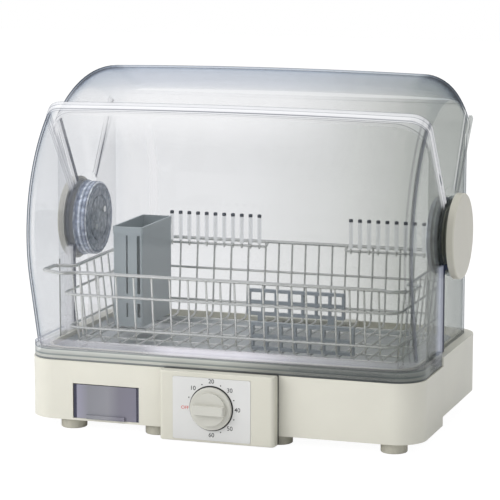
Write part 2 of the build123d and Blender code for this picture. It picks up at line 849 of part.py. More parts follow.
def rear_cover():
    """Clear fixed cover: dome, end walls and rear wall, thickened where it stands on the base."""
    outer = rear_cover_form(0)
    body = outer - rear_cover_form(shell)
    reach = cover_radius * 2
    keep = side_prism(
        (
            (cover_side_y, rear_ledge_z), (reach, rear_ledge_z), (reach, hub_z + reach),
            around_hub(cover_front_angle, reach),
            around_hub(cover_front_angle, (hub_y - cover_side_y) / sin(radians(cover_front_angle))),
        ),
        -base_width, base_width,
    )
    body = body & keep
    foot_room = slab(
        -cover_half_width + cover_foot_thick, cover_half_width - cover_foot_thick, -base_depth,
        cover_rear_y - cover_foot_thick, cover_rear_corner - cover_foot_thick, 0, hub_z,
    )
    band = box(
        -base_width, base_width, step_y, base_depth, rear_ledge_z, rear_ledge_z + cover_foot_height
    )
    body = body + ((outer & band) - foot_room)
    for side in (1, -1):
        body = body + cover_stop(side)
        body = body - fan_panel(side)
    return body - along_x(hub_y, hub_z, hub_bore_diameter, -base_width, base_width)


def front_lid_form(inset):
    """The lid as a full block: a drum sector whose lower edge runs on straight to the base."""
    radius = lid_radius - inset
    half_width = lid_half_width - inset
    corner = lid_corner - inset
    sector = drum_sector(lid_top_angle - sector_spare, lid_low_angle, radius, half_width, corner)
    skirt = extrude(meridian(lid_low_angle, radius, half_width, corner), lid_radius)
    return sector + skirt


def lid_side_outline():
    """The part of the side view that the lid covers."""
    reach = 2 * lid_radius
    return (
        (hub_y, hub_z), around_hub(lid_top_angle, reach),
        (-reach, hub_z + reach), (-reach, lid_flange_z0),
        (step_y - lid_step_gap, lid_flange_z0), (step_y - lid_step_gap, rear_ledge_z + lid_step_gap),
        (lid_side_low_y, rear_ledge_z + lid_step_gap), (lid_side_top_y, hub_z),
    )


def front_lid():
    """Clear swinging lid with a bead along its upper edge and a thick flange at its foot."""
    room = front_lid_form(shell)
    outer = front_lid_form(0)
    body = (outer - room) & side_prism(lid_side_outline(), -base_width, base_width)
    flange = slab(
        -side_x + lid_flange_inset, side_x - lid_flange_inset,
        front_y + lid_flange_inset / 2, rear_y,
        base_corner - lid_flange_inset, lid_flange_z0, lid_flange_z1,
    )
    flange = flange & box(
        -base_width, base_width, -base_depth, step_y - lid_step_gap, lid_flange_z0, lid_flange_z1
    )
    body = body + (flange - room)
    bead = front_lid_form(-lid_bead_rise) - outer
    a1 = lid_top_angle + lid_bead_angle
    reach = 2 * lid_radius
    band = side_prism(
        (
            around_hub(lid_top_angle, lid_bead_inner), around_hub(lid_top_angle, reach),
            around_hub(a1, reach), around_hub(a1, lid_bead_inner),
        ),
        -base_width, base_width,
    )
    body = body + (bead & band)
    bore = hub_bearing_diameter + 2 * hub_run
    x0 = lid_half_width - shell
    x1 = lid_half_width + lid_ring_rise
    ring = along_x(hub_y, hub_z, lid_ring, x0, x1)
    ring = ring - along_x(hub_y, hub_z, lid_ring - 2 * shell, lid_half_width, x1 + 1)
    for side in both_sides(ring):
        body = body + side
    return body - along_x(hub_y, hub_z, bore, -base_width, base_width)


def hub_screw_places():
    """The two screw places round the hub axis, as (y, z)."""
    dy = hub_screw_offset * cos(radians(hub_screw_angle))
    dz = hub_screw_offset * sin(radians(hub_screw_angle))
    return [(hub_y + dy, hub_z + dz), (hub_y - dy, hub_z - dz)]


def hub_cap():
    """Beige disc outside the lid, with the collar that the lid turns on."""
    disc = along_x(hub_y, hub_z, hub_cap_diameter, hub_cap_x0, hub_cap_x1)
    disc = fillet(disc.edges().sort_by(Axis.X)[-1], hub_cap_edge)
    disc = disc - along_x(
        hub_y, hub_z, hub_cap_diameter - 2 * hub_cap_wall, hub_cap_x0 - 1, hub_cap_x1 - hub_cap_wall
    )
    collar = along_x(hub_y, hub_z, hub_bearing_diameter, cover_half_width, hub_cap_x1 - hub_cap_wall)
    collar = collar - along_x(
        hub_y, hub_z, hub_bearing_diameter - 2 * hub_bearing_wall, cover_half_width - 1, hub_cap_x1
    )
    body = disc + collar
    for y, z in hub_screw_places():
        body = body + along_x(y, z, hub_screw_boss, cover_half_width, hub_cap_x1 - hub_cap_wall)
    for y, z in hub_screw_places():
        bore = hub_screw_diameter + 2 * screw_hole_fit
        tip = hub_drum_face + hub_screw_length + hub_screw_tip_gap
        body = body - along_x(y, z, bore, cover_half_width - 1, tip)
    return body


def hub_drum():
    """Translucent drum inside the cover, with rings on its face and two screw bosses."""
    body = along_x(hub_y, hub_z, hub_drum_diameter, hub_drum_face, cover_inner_x)
    body = fillet(body.edges().sort_by(Axis.X)[0], hub_cap_edge)
    room = hub_drum_diameter - 2 * hub_drum_wall
    body = body - along_x(hub_y, hub_z, room, hub_drum_face + hub_drum_wall, cover_half_width)
    for diameter in hub_drum_rings:
        x0 = hub_drum_face - hub_drum_wall
        x1 = hub_drum_face + hub_drum_ring_depth
        groove = along_x(hub_y, hub_z, diameter + hub_drum_ring_width, x0, x1)
        groove = groove - along_x(hub_y, hub_z, diameter - hub_drum_ring_width, x0 - 1, x1 + 1)
        body = body - groove
    for y, z in hub_screw_places():
        body = body + along_x(y, z, hub_screw_boss, hub_drum_face + hub_drum_wall / 2, cover_half_width)
    for y, z in hub_screw_places():
        bore = hub_screw_diameter + 2 * screw_hole_fit
        body = body - along_x(y, z, bore, hub_drum_face - 1, cover_half_width + 1)
    return body


def hub_screws():
    """The screws that draw the drum and the cap together through the cover, on the right."""
    screws = []
    for y, z in hub_screw_places():
        head = along_x(y, z, hub_screw_head, hub_drum_face - hub_screw_head_height, hub_drum_face)
        shank = along_x(y, z, hub_screw_diameter, hub_drum_face, hub_drum_face + hub_screw_length)
        screws.append(head + shank)
    return screws


def drain_tray():
    """Thin tray on the deck, with an upstand all round and a drain that dips into the base."""
    height = tray_wall_height
    outer = slab(-tray_half, tray_half, tray_front_y, tray_rear_y, tray_corner, tray_z0, tray_z0 + height)
    inner = slab(
        -tray_half + tray_thick, tray_half - tray_thick,
        tray_front_y + tray_thick, tray_rear_y - tray_thick,
        tray_corner - tray_thick, tray_z1, tray_z0 + height + 1,
    )
    body = outer - inner + upright(drain_x, drain_y, drain_diameter, tray_z0 - drain_drop, tray_z1)
    return body - upright(drain_x, drain_y, drain_diameter - 2 * drain_wall, 0, rear_ledge_z)


def air_outlet_grille():
    """Raised hood over the hot-air opening, slotted towards the basket."""
    body = box(outlet_x0, outlet_x1, outlet_y0, outlet_y1, deck_z, deck_z + outlet_height)
    body = fillet(body.edges().filter_by(Axis.Z), outlet_wall)
    body = body - box(
        outlet_x0 + outlet_wall, outlet_x1 - outlet_wall, outlet_y0 + outlet_wall, outlet_y1 - outlet_wall,
        deck_z - 1, deck_z + outlet_height - outlet_wall,
    )
    count = int((outlet_x1 - outlet_x0 - 2 * outlet_slot_pitch) // outlet_slot_pitch)
    first = (outlet_x0 + outlet_x1 - (count - 1) * outlet_slot_pitch) / 2
    z0 = deck_z + (outlet_height - outlet_slot_height) / 2
    z1 = z0 + outlet_slot_height
    half = outlet_slot / 2
    for i in range(count):
        x = first + i * outlet_slot_pitch
        body = body - box(x - half, x + half, outlet_y0 - 1, outlet_y0 + 2 * outlet_wall, z0, z1)
    return body


def lean(z, bottom, bottom_z, top, top_z):
    """How far out a leaning basket wire is at one height."""
    return bottom + (top - bottom) * (z - bottom_z) / (top_z - bottom_z)


def hoop_places():
    """The X places of the wires that run down the front, under the dishes and up the rear."""
    wide = [wide_start + i * wide_pitch for i in range(wide_count)]
    narrow = [narrow_start + i * narrow_pitch for i in range(narrow_count)]
    return wide + narrow


def hoop_front(x):
    """One front wire, from the rim down and round on to the floor."""
    bend = basket_front_bottom + basket_bend + bend_end
    points = (
        (x, basket_front_top, front_wire_z),
        (x, basket_front_bottom, basket_floor_z),
        (x, bend, basket_floor_z),
    )
    return tube(points, basket_bend, wire)


def hoop_rear(x):
    """One rear wire, from the rim down and round on to the floor."""
    bend = basket_rear_bottom - basket_bend - bend_end
    points = (
        (x, basket_rear_top, rear_wire_z),
        (x, basket_rear_bottom, basket_floor_z),
        (x, bend, basket_floor_z),
    )
    return tube(points, basket_bend, wire)


def hoop_floor(x):
    """One floor wire between the bent feet of a front and a rear wire."""
    y0 = basket_front_bottom + basket_bend + bend_end
    y1 = basket_rear_bottom - basket_bend - bend_end
    return along_y(x, basket_floor_z, wire, y0, y1)


def basket_rim():
    """Thick closed rim with an ear at each front corner, higher at the rear."""
    ear_front = basket_front_top - ear_out
    ear_z = front_rim_z + ear_rise
    rear_turn = basket_rear_top - ear_tail
    right = (
        (basket_half_top - ear_inner, basket_front_top, front_rim_z),
        (basket_half_top - ear_turn, ear_front, ear_z - ear_dip),
        (ear_x, ear_front + ear_nose, ear_z),
        (ear_x, basket_front_top + ear_cheek, ear_z - ear_dip / 2),
        (basket_half_top, basket_front_top + ear_tail, side_rim_z),
        (basket_half_top, rear_turn, side_rim_z),
        (basket_half_top - rim_rear_in, basket_rear_top, rear_rim_z),
    )
    left = tuple((-x, y, z) for x, y, z in reversed(right))
    return tube(right + left, rim_bend, rim_wire, closed=True)


def level_ring(half, front, rear, corner, z):
    """One closed level ring of the basket."""
    outline = RectangleRounded(2 * half, rear - front, corner)
    path = (Pos(0, (front + rear) / 2, z) * outline).wire()
    return sweep(Plane(path @ 0, z_dir=path % 0) * Circle(ring_wire / 2), path=path)


def basket_ring(z):
    """One level ring welded to the outside of the upright wires."""
    out = (wire + ring_wire) / 2 + 2 * weld_gap
    front = lean(z, basket_front_bottom, basket_floor_z, basket_front_top, front_wire_z) - out
    rear = lean(z, basket_rear_bottom, basket_floor_z, basket_rear_top, rear_wire_z) + out
    half = lean(z, basket_half_bottom, side_foot_z, basket_half_top, side_wire_z) + out
    return level_ring(half, front, rear, basket_corner, z)


def basket_base_ring():
    """The ring under the floor wires, on which the side wires stand."""
    front = basket_front_bottom + basket_bend
    rear = basket_rear_bottom - basket_bend
    return level_ring(basket_half_bottom, front, rear, basket_bend / 2, base_ring_z)


def side_wire(y):
    """One upright wire of the right side, from the bottom ring to the rim."""
    return tube(((basket_half_bottom, y, side_foot_z), (basket_half_top, y, side_wire_z)), 0, wire)


def basket_side_wires():
    """The upright wires of the right side."""
    return [side_wire(side_start + i * side_pitch) for i in range(side_count)]


def basket_feet():
    """Four wire feet under the bottom ring, standing on the drain tray."""
    z1 = base_ring_z - ring_wire / 2 - weld_gap
    z0 = tray_z1 + rest_gap + wire / 2
    x = basket_half_bottom
    feet = []
    for y in basket_foot_y:
        a = basket_foot_half
        points = ((x, y - a, z1), (x, y - a, z0), (x, y + a, z0), (x, y + a, z1))
        feet.append(tube(points, wire, wire))
    return [foot_wire for shape in feet for foot_wire in both_sides(shape)]


def floor_rails():
    """Three cross rails under the floor wires, between the two sides of the bottom ring."""
    half = basket_half_bottom - ring_wire / 2 - weld_gap
    middle = (basket_front_bottom + basket_rear_bottom) / 2
    return [along_x(middle + i * rail_pitch, base_ring_z, ring_wire, -half, half) for i in (-1, 0, 1)]


def pin_places(start, count):
    """The X places of one row of cup pins."""
    return [start + i * pin_pitch for i in range(count)]


def cup_pins(start, count):
    """One row of upright wires on a cross bar that hooks on to the rear rim."""
    xs = pin_places(start, count)
    back = pin_y + (wire + ring_wire) / 2 + weld_gap
    x0 = xs[0] - pin_bar_over
    x1 = xs[-1] + pin_bar_over
    hook_y = basket_rear_top - rim_wire / 2 - ring_wire / 2 - weld_gap
    bar = tube(
        ((x0, hook_y, rear_rim_z), (x0, hook_y, pin_bar_z + pin_hook_rise), (x0, back, pin_bar_z),
         (x1, back, pin_bar_z), (x1, hook_y, pin_bar_z + pin_hook_rise), (x1, hook_y, rear_rim_z)),
        pin_bar_bend, ring_wire,
    )
    pins = [upright(x, pin_y, wire, pin_low_z, pin_top_z) for x in xs]
    return group([bar] + pins)


def cup_sleeves(start, count):
    """Clear soft sleeves over the pins."""
    sleeves = []
    for x in pin_places(start, count):
        sleeve = upright(x, pin_y, pin_sleeve, pin_sleeve_z, pin_top_z)
        sleeves.append(sleeve - upright(x, pin_y, wire + 2 * pin_sleeve_fit, 0, pin_top_z + 1))
    return group(sleeves)


def cup_tips(start, count):
    """Dark rounded tips on top of the pins."""
    tips = []
    for x in pin_places(start, count):
        tip = upright(x, pin_y, pin_sleeve, pin_top_z, pin_top_z + pin_tip_height)
        tips.append(fillet(tip.edges().sort_by(Axis.Z)[-1], pin_sleeve / 4))
    return group(tips)


def cutlery_box():
    """Tall narrow plastic box on the floor wires, with a band at its mouth and slots."""
    z0 = floor_top_z + rest_gap
    z1 = z0 + cutlery_height
    out = cutlery_band_out
    body = slab(cutlery_x0, cutlery_x1, cutlery_y0, cutlery_y1, cutlery_corner, z0, z1)
    body = body + slab(
        cutlery_x0 - out, cutlery_x1 + out, cutlery_y0 - out, cutlery_y1 + out, cutlery_corner + out,
        z1 - cutlery_band_height, z1,
    )
    w = cutlery_wall
    body = body - slab(
        cutlery_x0 + w, cutlery_x1 - w, cutlery_y0 + w, cutlery_y1 - w, cutlery_corner - w, z0 + w, z1 + w
    )
    count = int((cutlery_y1 - cutlery_y0 - 2 * cutlery_corner) // cutlery_slot_pitch)
    middle = (cutlery_y0 + cutlery_y1) / 2
    half = cutlery_slot / 2
    for i in range(count):
        y = middle + (i - (count - 1) / 2) * cutlery_slot_pitch
        body = body - box(cutlery_x0 + 2 * w, cutlery_x1 - 2 * w, y - half, y + half, z0 - w, z0 + 2 * w)
    for share, width in cutlery_front_slots:
        x = cutlery_x0 + share * cutlery_width
        for low, high in (cutlery_low_row, cutlery_high_row):
            body = body - box(
                x - width / 2, x + width / 2, cutlery_y0 - w, cutlery_y0 + 2 * w, z0 + low, z0 + high
            )
    return body


def plate_stand(x, y, rise):
    """Plastic comb with two rows of windows that holds plates on edge."""
    z0 = floor_top_z + rest_gap
    foot_z = z0 + rise
    half = stand_length / 2
    body = box(x - half, x + half, y - stand_thick / 2, y + stand_thick / 2, foot_z, foot_z + stand_height)
    middle = foot_z + stand_height / 2
    window = (stand_pitch - stand_rib) / 2
    rail = stand_rail / 2
    rows = ((foot_z + stand_rail, middle - rail), (middle + rail, foot_z + stand_height - stand_rail))
    for i in range(stand_windows):
        cx = x + (i - (stand_windows - 1) / 2) * stand_pitch
        for low, high in rows:
            body = body - box(cx - window, cx + window, y - stand_thick, y + stand_thick, low, high)
    if rise:
        for cx in (x - half + stand_pitch, x + half - stand_pitch):
            body = body + box(
                cx - stand_rail, cx + stand_rail, y - stand_thick / 2, y + stand_thick / 2,
                z0, foot_z + stand_rail,
            )
    return body


def fan_housing():
    """Scroll of the blower under the deck, open below round the motor and on its left to the duct."""
    z0 = scroll_z0
    z1 = deck_under_z
    y1 = fan_y + scroll_radius
    w = scroll_wall
    outer = upright(fan_x, fan_y, 2 * scroll_radius, z0, z1)
    outer = outer + box(scroll_mouth_x, fan_x, scroll_mouth_y0, y1, z0, z1)
    inner = upright(fan_x, fan_y, 2 * (scroll_radius - w), z0 + w, z1 - w)
    inner = inner + box(scroll_mouth_x - w, fan_x, scroll_mouth_y0 + w, y1 - w, z0 + w, z1 - w)
    return outer - inner - upright(fan_x, fan_y, scroll_inlet, z0 - w, z0 + 2 * w)


def impeller():
    """Forward-curved blower wheel: blades between a top plate and a lower ring, on a hub."""
    z0 = impeller_z0
    z1 = impeller_z1
    p = impeller_plate
    top = upright(fan_x, fan_y, 2 * impeller_radius, z1 - p, z1)
    ring = upright(fan_x, fan_y, 2 * impeller_radius, z0, z0 + p)
    ring = ring - upright(fan_x, fan_y, 2 * (impeller_radius - impeller_ring), z0 - 1, z1)
    hub = upright(fan_x, fan_y, impeller_hub, z0 + 2 * p, z1)
    body = top + ring + hub
    blade = Box(impeller_ring - blade_inset, blade_thick, z1 - z0 - p)
    middle = impeller_radius - impeller_ring / 2
    for i in range(blade_count):
        turn = 360 / blade_count * i
        place = Pos(fan_x, fan_y, (z0 + z1) / 2) * Rot(0, 0, turn)
        body = body + place * Pos(middle, 0, 0) * Rot(0, 0, blade_twist) * blade
    bore = motor_shaft_diameter + 2 * motor_fit
    return body - upright(fan_x, fan_y, bore, 0, z1 - p)


def motor_shaft():
    """Steel shaft of the blower motor."""
    z0 = motor_z0 - 2 * bracket_thick
    return upright(fan_x, fan_y, motor_shaft_diameter, z0, impeller_z1 - impeller_plate)


def motor_rotor():
    """Rotor on the motor shaft."""
    z0 = motor_z0 + rotor_end_gap
    body = upright(fan_x, fan_y, stator_bore - 2 * rotor_gap, z0, stator_z1 - rotor_end_gap)
    return body - upright(fan_x, fan_y, motor_shaft_diameter + 2 * motor_fit, 0, deck_z)


def motor_stator():
    """Laminated stator of the shaded-pole motor, open round the rotor."""
    half = stator_width / 2
    body = box(
        fan_x - half, fan_x + half, fan_y - stator_depth / 2, fan_y + stator_depth / 2, motor_z0, stator_z1
    )
    return body - upright(fan_x, fan_y, stator_bore, 0, deck_z)


def motor_bracket_upper():
    """Steel strap over the stator, with the upper bearing and two posts up to the scroll."""
    body = box(
        fan_x - bracket_reach - bracket_post / 2, fan_x + bracket_reach + bracket_post / 2,
        fan_y - bracket_width / 2, fan_y + bracket_width / 2, stator_z1, stator_z1 + bracket_thick,
    )
    for side in (-1, 1):
        x = fan_x + side * bracket_reach
        body = body + upright(x, fan_y, bracket_post, stator_z1 + bracket_thick, scroll_z0)
    return body - upright(fan_x, fan_y, motor_shaft_diameter + 2 * motor_fit, 0, deck_z)


def motor_bracket_lower():
    """Steel strap under the stator, with the lower bearing."""
    half = stator_width / 2
    body = box(
        fan_x - half, fan_x + half, fan_y - bracket_width / 2, fan_y + bracket_width / 2,
        motor_z0 - bracket_thick, motor_z0,
    )
    return body - upright(fan_x, fan_y, motor_shaft_diameter + 2 * motor_fit, 0, deck_z)


def air_duct():
    """Sheet duct from the scroll mouth past the heater to the opening under the outlet grille."""
    w = duct_wall
    z0 = scroll_z0
    z1 = deck_under_z
    y_mouth = fan_y + scroll_radius
    body = box(duct_x0, duct_x1, duct_y0, duct_y1, z0, z1)
    body = body - box(duct_x0 + w, duct_x1 - w, duct_y0 + w, duct_y1 - w, z0 + w, z1 - w)
    body = body - box(
        duct_x1 - 2 * w, duct_x1 + w, scroll_mouth_y0 + scroll_wall, y_mouth - scroll_wall, z0 + w, z1 - w
    )
    return body - box(
        outlet_x0 + outlet_wall, outlet_x1 - outlet_wall, outlet_y0 + outlet_wall, outlet_y1 - outlet_wall,
        z1 - 2 * w, z1 + w,
    )


def heater_run_places():
    """The Y places of the straight runs of the heater wire."""
    middle = (duct_y0 + fan_y + scroll_radius) / 2
    return [middle + (i - (heater_runs - 1) / 2) * heater_pitch for i in range(heater_runs)]


def heater_frame():
    """Two mica plates across the duct that carry the heater wire."""
    plates = []
    y0 = duct_y0 + duct_wall + heater_fit
    y1 = fan_y + scroll_radius
    for x in heater_x:
        half = heater_plate / 2
        plate = box(
            x - half, x + half, y0, y1, scroll_z0 + duct_wall, deck_under_z - duct_wall - heater_fit
        )
        for y in heater_run_places():
            for z in heater_rows:
                plate = plate - along_x(y, z, heater_wire + 2 * heater_wire_fit, x - 1, x + 1)
        plates.append(plate)
    return group(plates)


def heater_coil():
    """Heater wire: two layers that run to and fro through the mica plates."""
    x0 = heater_x[0] - 3 * heater_wire
    x1 = heater_x[1] + 3 * heater_wire
    layers = []
    for z in heater_rows:
        points = []
        for i, y in enumerate(heater_run_places()):
            ends = (x0, x1) if i % 2 == 0 else (x1, x0)
            points.extend([(ends[0], y, z), (ends[1], y, z)])
        layers.append(tube(tuple(points), heater_pitch / 3, heater_wire))
    return group(layers)


def thermostat():
    """Round cut-out on the front wall of the duct."""
    z = (scroll_z0 + deck_under_z) / 2
    return along_y(thermostat_x, z, thermostat_diameter, duct_y0 - thermostat_depth, duct_y0)


def thermal_fuse():
    """Small fuse tube on the front wall of the duct."""
    z = (scroll_z0 + deck_under_z) / 2
    y = duct_y0 - fuse_diameter / 2
    return along_x(y, z, fuse_diameter, fuse_x - fuse_length / 2, fuse_x + fuse_length / 2)


def terminal_block():
    """Terminal block on the bottom plate, where the supply lead ends."""
    length, depth, height = terminal_size
    body = box(
        terminal_x - length / 2, terminal_x + length / 2, terminal_y - depth / 2, terminal_y + depth / 2,
        plate_top_z, plate_top_z + height,
    )
    for i in (-1, 0, 1):
        x = terminal_x + i * terminal_pitch
        body = body - upright(x, terminal_y, depth / 3, plate_top_z + height / 2, plate_top_z + 2 * height)
    return body


def cord_bush():
    """Rubber bush in the rear wall where the supply lead goes in."""
    y0 = rear_y - base_wall - cord_bush_flange_thick
    y1 = rear_y + cord_bush_flange_thick
    body = along_y(cord_bush_x, cord_bush_z, cord_bush_diameter - 2 * cord_bush_fit, y0, y1)
    body = body + along_y(cord_bush_x, cord_bush_z, cord_bush_flange, rear_y, y1)
    body = body + along_y(cord_bush_x, cord_bush_z, cord_bush_flange, y0, rear_y - base_wall)
    return body - along_y(cord_bush_x, cord_bush_z, cord_bore, y0 - 1, rear_y + 2 * cord_bush_flange_thick)


def all_nodes():
    """Every node by name."""
    nodes = {
        "base_housing": base_housing(),
        "base_bottom_plate": base_bottom_plate(),
        "bottom_plate_screws": bottom_plate_screws(),
    }
    for name, x in zip(("left", "mid_left", "mid_right", "right"), foot_front_x):
        nodes["foot_front_" + name] = foot(x, foot_front_y, skirt_z)
    for name, x in zip(("left", "right"), foot_rear_x):
        nodes["foot_rear_" + name] = foot(x, foot_rear_y, plate_under_z)
    nodes["control_box"] = control_box()
    nodes["face_plate"] = face_plate()
    nodes["timer_body"] = timer_body()
    nodes["timer_shaft"] = timer_shaft()
    nodes["timer_knob"] = timer_knob()
    nodes["water_receiver"] = water_receiver()
    nodes["rear_cover"] = rear_cover()
    nodes["front_lid"] = front_lid()
    for piece, shape in (("hub_cap", hub_cap()), ("hub_drum", hub_drum())):
        nodes[piece + "_right"], nodes[piece + "_left"] = both_sides(shape)
    nodes["hub_screws"] = group([s for screw in hub_screws() for s in both_sides(screw)])
    nodes["drain_tray"] = drain_tray()
    nodes["air_outlet_grille"] = air_outlet_grille()
    nodes["basket_rim"] = basket_rim()
    nodes["basket_mid_ring"] = basket_ring(mid_ring_z)
    nodes["basket_low_ring"] = basket_ring(low_ring_z)
    nodes["basket_base_ring"] = basket_base_ring()
    nodes["basket_front_wires"] = group([hoop_front(x) for x in hoop_places()])
    nodes["basket_rear_wires"] = group([hoop_rear(x) for x in hoop_places()])
    nodes["basket_floor_wires"] = group([hoop_floor(x) for x in hoop_places()])
    right_wires = basket_side_wires()
    nodes["basket_right_wires"] = group(right_wires)
    nodes["basket_left_wires"] = group([mirror(w, about=Plane.YZ) for w in right_wires])
    nodes["basket_floor_rails"] = group(floor_rails())
    nodes["basket_feet"] = group(basket_feet())
    for side, start, count in (
        ("left", pin_left_x, pin_left_count), ("right", pin_right_x, pin_right_count)
    ):
        nodes["cup_pins_" + side] = cup_pins(start, count)
        nodes["cup_sleeves_" + side] = cup_sleeves(start, count)
        nodes["cup_tips_" + side] = cup_tips(start, count)
    nodes["cutlery_box"] = cutlery_box()
    nodes["plate_stand_front"] = plate_stand(stand_front_x, stand_front_y, 0)
    nodes["plate_stand_rear"] = plate_stand(stand_rear_x, stand_rear_y, stand_rear_rise)
    nodes["fan_housing"] = fan_housing()
    nodes["impeller"] = impeller()
    nodes["motor_shaft"] = motor_shaft()
    nodes["motor_rotor"] = motor_rotor()
    nodes["motor_stator"] = motor_stator()
    nodes["motor_bracket_upper"] = motor_bracket_upper()
    nodes["motor_bracket_lower"] = motor_bracket_lower()
    nodes["air_duct"] = air_duct()
    nodes["heater_frame"] = heater_frame()
    nodes["heater_coil"] = heater_coil()
    nodes["thermostat"] = thermostat()
    nodes["thermal_fuse"] = thermal_fuse()
    nodes["terminal_block"] = terminal_block()
    nodes["cord_bush"] = cord_bush()
    return nodes


def origin_shift():
    """How far back every piece moves, to bring the middle of the whole depth over the origin."""
    front_most = min(knob_planes()[0], hub_y - lid_radius)
    rear_most = rear_y + cord_bush_flange_thick
    return -(front_most + rear_most) / 2


os.makedirs("parts", exist_ok=True)
for node_name, node_shape in all_nodes().items():
    export_step(Pos(0, origin_shift(), 0) * node_shape, os.path.join("parts", node_name + ".step"))
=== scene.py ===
from math import cos, pi, radians, sin

import bpy
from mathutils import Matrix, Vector


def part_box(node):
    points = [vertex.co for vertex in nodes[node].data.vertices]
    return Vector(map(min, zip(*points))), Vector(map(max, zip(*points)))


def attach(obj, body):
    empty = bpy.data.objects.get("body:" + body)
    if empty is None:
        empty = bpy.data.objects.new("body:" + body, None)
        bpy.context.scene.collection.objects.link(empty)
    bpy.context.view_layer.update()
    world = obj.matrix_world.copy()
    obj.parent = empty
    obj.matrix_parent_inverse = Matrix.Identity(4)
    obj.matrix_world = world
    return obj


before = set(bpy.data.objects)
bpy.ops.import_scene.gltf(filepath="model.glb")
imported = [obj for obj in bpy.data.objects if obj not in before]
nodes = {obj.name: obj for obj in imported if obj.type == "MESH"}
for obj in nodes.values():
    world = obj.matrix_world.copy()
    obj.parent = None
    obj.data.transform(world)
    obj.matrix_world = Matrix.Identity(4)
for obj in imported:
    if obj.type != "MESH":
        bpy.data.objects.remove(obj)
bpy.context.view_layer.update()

# Camera
# It stands to the right of the front, a little above the lid, with a long lens, as the
# photograph was taken. The target is the middle of the picture.
target = Vector((-0.0087, 0.01575, 0.2091))
camera_turn = radians(18.5)
camera_rise = radians(9.4)
camera_distance = 2.9926
camera_data = bpy.data.cameras.new("camera")
camera_data.lens = 172.8
camera_data.sensor_width = 36.0
camera_data.clip_end = 30.0
camera = bpy.data.objects.new("camera", camera_data)
bpy.context.scene.collection.objects.link(camera)
camera.location = target + camera_distance * Vector(
    (sin(camera_turn) * cos(camera_rise), -cos(camera_turn) * cos(camera_rise), sin(camera_rise))
)
camera.rotation_euler = (pi / 2 - camera_rise, 0.0, camera_turn)
bpy.context.scene.camera = camera
bpy.context.scene.view_settings.view_transform = "Standard"

# Studio
# A white sweep with soft lamps. What the lens sees of the room is plain white. What lights
# the object and shows in its gloss is a room that is brighter on the upper left.
brightest_way = (-0.64, -0.42, 0.64)
dimmest = 0.34
brightest = 0.86


def seen_by_lens(tree):
    """1 for what the lens sees, straight or through clear plastic, and 0 for what only lights."""
    path = tree.nodes.new("ShaderNodeLightPath")
    seen = tree.nodes.new("ShaderNodeMath")
    seen.operation = "MAXIMUM"
    tree.links.new(path.outputs["Is Camera Ray"], seen.inputs[0])
    tree.links.new(path.outputs["Is Transmission Ray"], seen.inputs[1])
    return seen.outputs["Value"]


world = bpy.data.worlds.new("studio")
bpy.context.scene.world = world
world.use_nodes = True
tree = world.node_tree
tree.nodes.clear()
heading = tree.nodes.new("ShaderNodeTexCoord")
side = tree.nodes.new("ShaderNodeVectorMath")
side.operation = "DOT_PRODUCT"
side.inputs[1].default_value = brightest_way
tree.links.new(heading.outputs["Generated"], side.inputs[0])
fall = tree.nodes.new("ShaderNodeMapRange")
fall.inputs["From Min"].default_value = -1.0
fall.inputs["To Min"].default_value = dimmest
fall.inputs["To Max"].default_value = brightest
tree.links.new(side.outputs["Value"], fall.inputs["Value"])
room = tree.nodes.new("ShaderNodeBackground")
room.inputs["Color"].default_value = (0.95, 0.97, 1.0, 1.0)
tree.links.new(fall.outputs["Result"], room.inputs["Strength"])
white = tree.nodes.new("ShaderNodeBackground")
white.inputs["Color"].default_value = (1.0, 1.0, 1.0, 1.0)
white.inputs["Strength"].default_value = 1.0
choice = tree.nodes.new("ShaderNodeMixShader")
tree.links.new(seen_by_lens(tree), choice.inputs["Fac"])
tree.links.new(room.outputs["Background"], choice.inputs[1])
tree.links.new(white.outputs["Background"], choice.inputs[2])
output = tree.nodes.new("ShaderNodeOutputWorld")
tree.links.new(choice.outputs["Shader"], output.inputs["Surface"])


lamp_aim = Vector((0.0, 0.0, 0.2))


def soft_lamp(name, place, size, power, colour):
    """A square soft box that faces the object, too soft to show in its gloss."""
    data = bpy.data.lights.new(name, "AREA")
    data.shape = "SQUARE"
    data.size = size
    data.energy = power
    data.color = colour
    lamp = bpy.data.objects.new(name, data)
    bpy.context.scene.collection.objects.link(lamp)
    lamp.location = place
    aim = lamp_aim - Vector(place)
    lamp.rotation_euler = aim.to_track_quat("-Z", "Y").to_euler()
    lamp.visible_glossy = False


soft_lamp("key_lamp", (-0.95, -1.15, 0.95), size=0.9, power=10.0, colour=(1.0, 0.99, 0.98))
soft_lamp("top_lamp", (-0.2, 0.3, 2.2), size=1.8, power=20.0, colour=(1.0, 1.0, 1.0))

floor_size = 12.0
floor_white = (0.86, 0.86, 0.86, 1.0)
floor_glow = 1.12
glow_share = 0.86
bpy.ops.object.select_all(action="DESELECT")
bpy.ops.mesh.primitive_plane_add(size=floor_size, location=(0.0, 0.0, 0.0))
floor = bpy.context.object
floor.name = "floor"
floor_paint = bpy.data.materials.new("floor_paint")
floor_paint.use_nodes = True
tree = floor_paint.node_tree
shader = tree.nodes["Principled BSDF"]
shader.inputs["Base Color"].default_value = floor_white
shader.inputs["Roughness"].default_value = 0.9
glow = tree.nodes.new("ShaderNodeEmission")
glow.inputs["Strength"].default_value = floor_glow
share = tree.nodes.new("ShaderNodeMath")
share.operation = "MULTIPLY"
share.inputs[1].default_value = glow_share
tree.links.new(seen_by_lens(tree), share.inputs[0])
mix = tree.nodes.new("ShaderNodeMixShader")
tree.links.new(share.outputs["Value"], mix.inputs["Fac"])
tree.links.new(shader.outputs["BSDF"], mix.inputs[1])
tree.links.new(glow.outputs["Emission"], mix.inputs[2])
tree.links.new(mix.outputs["Shader"], tree.nodes["Material Output"].inputs["Surface"])
floor.data.materials.append(floor_paint)

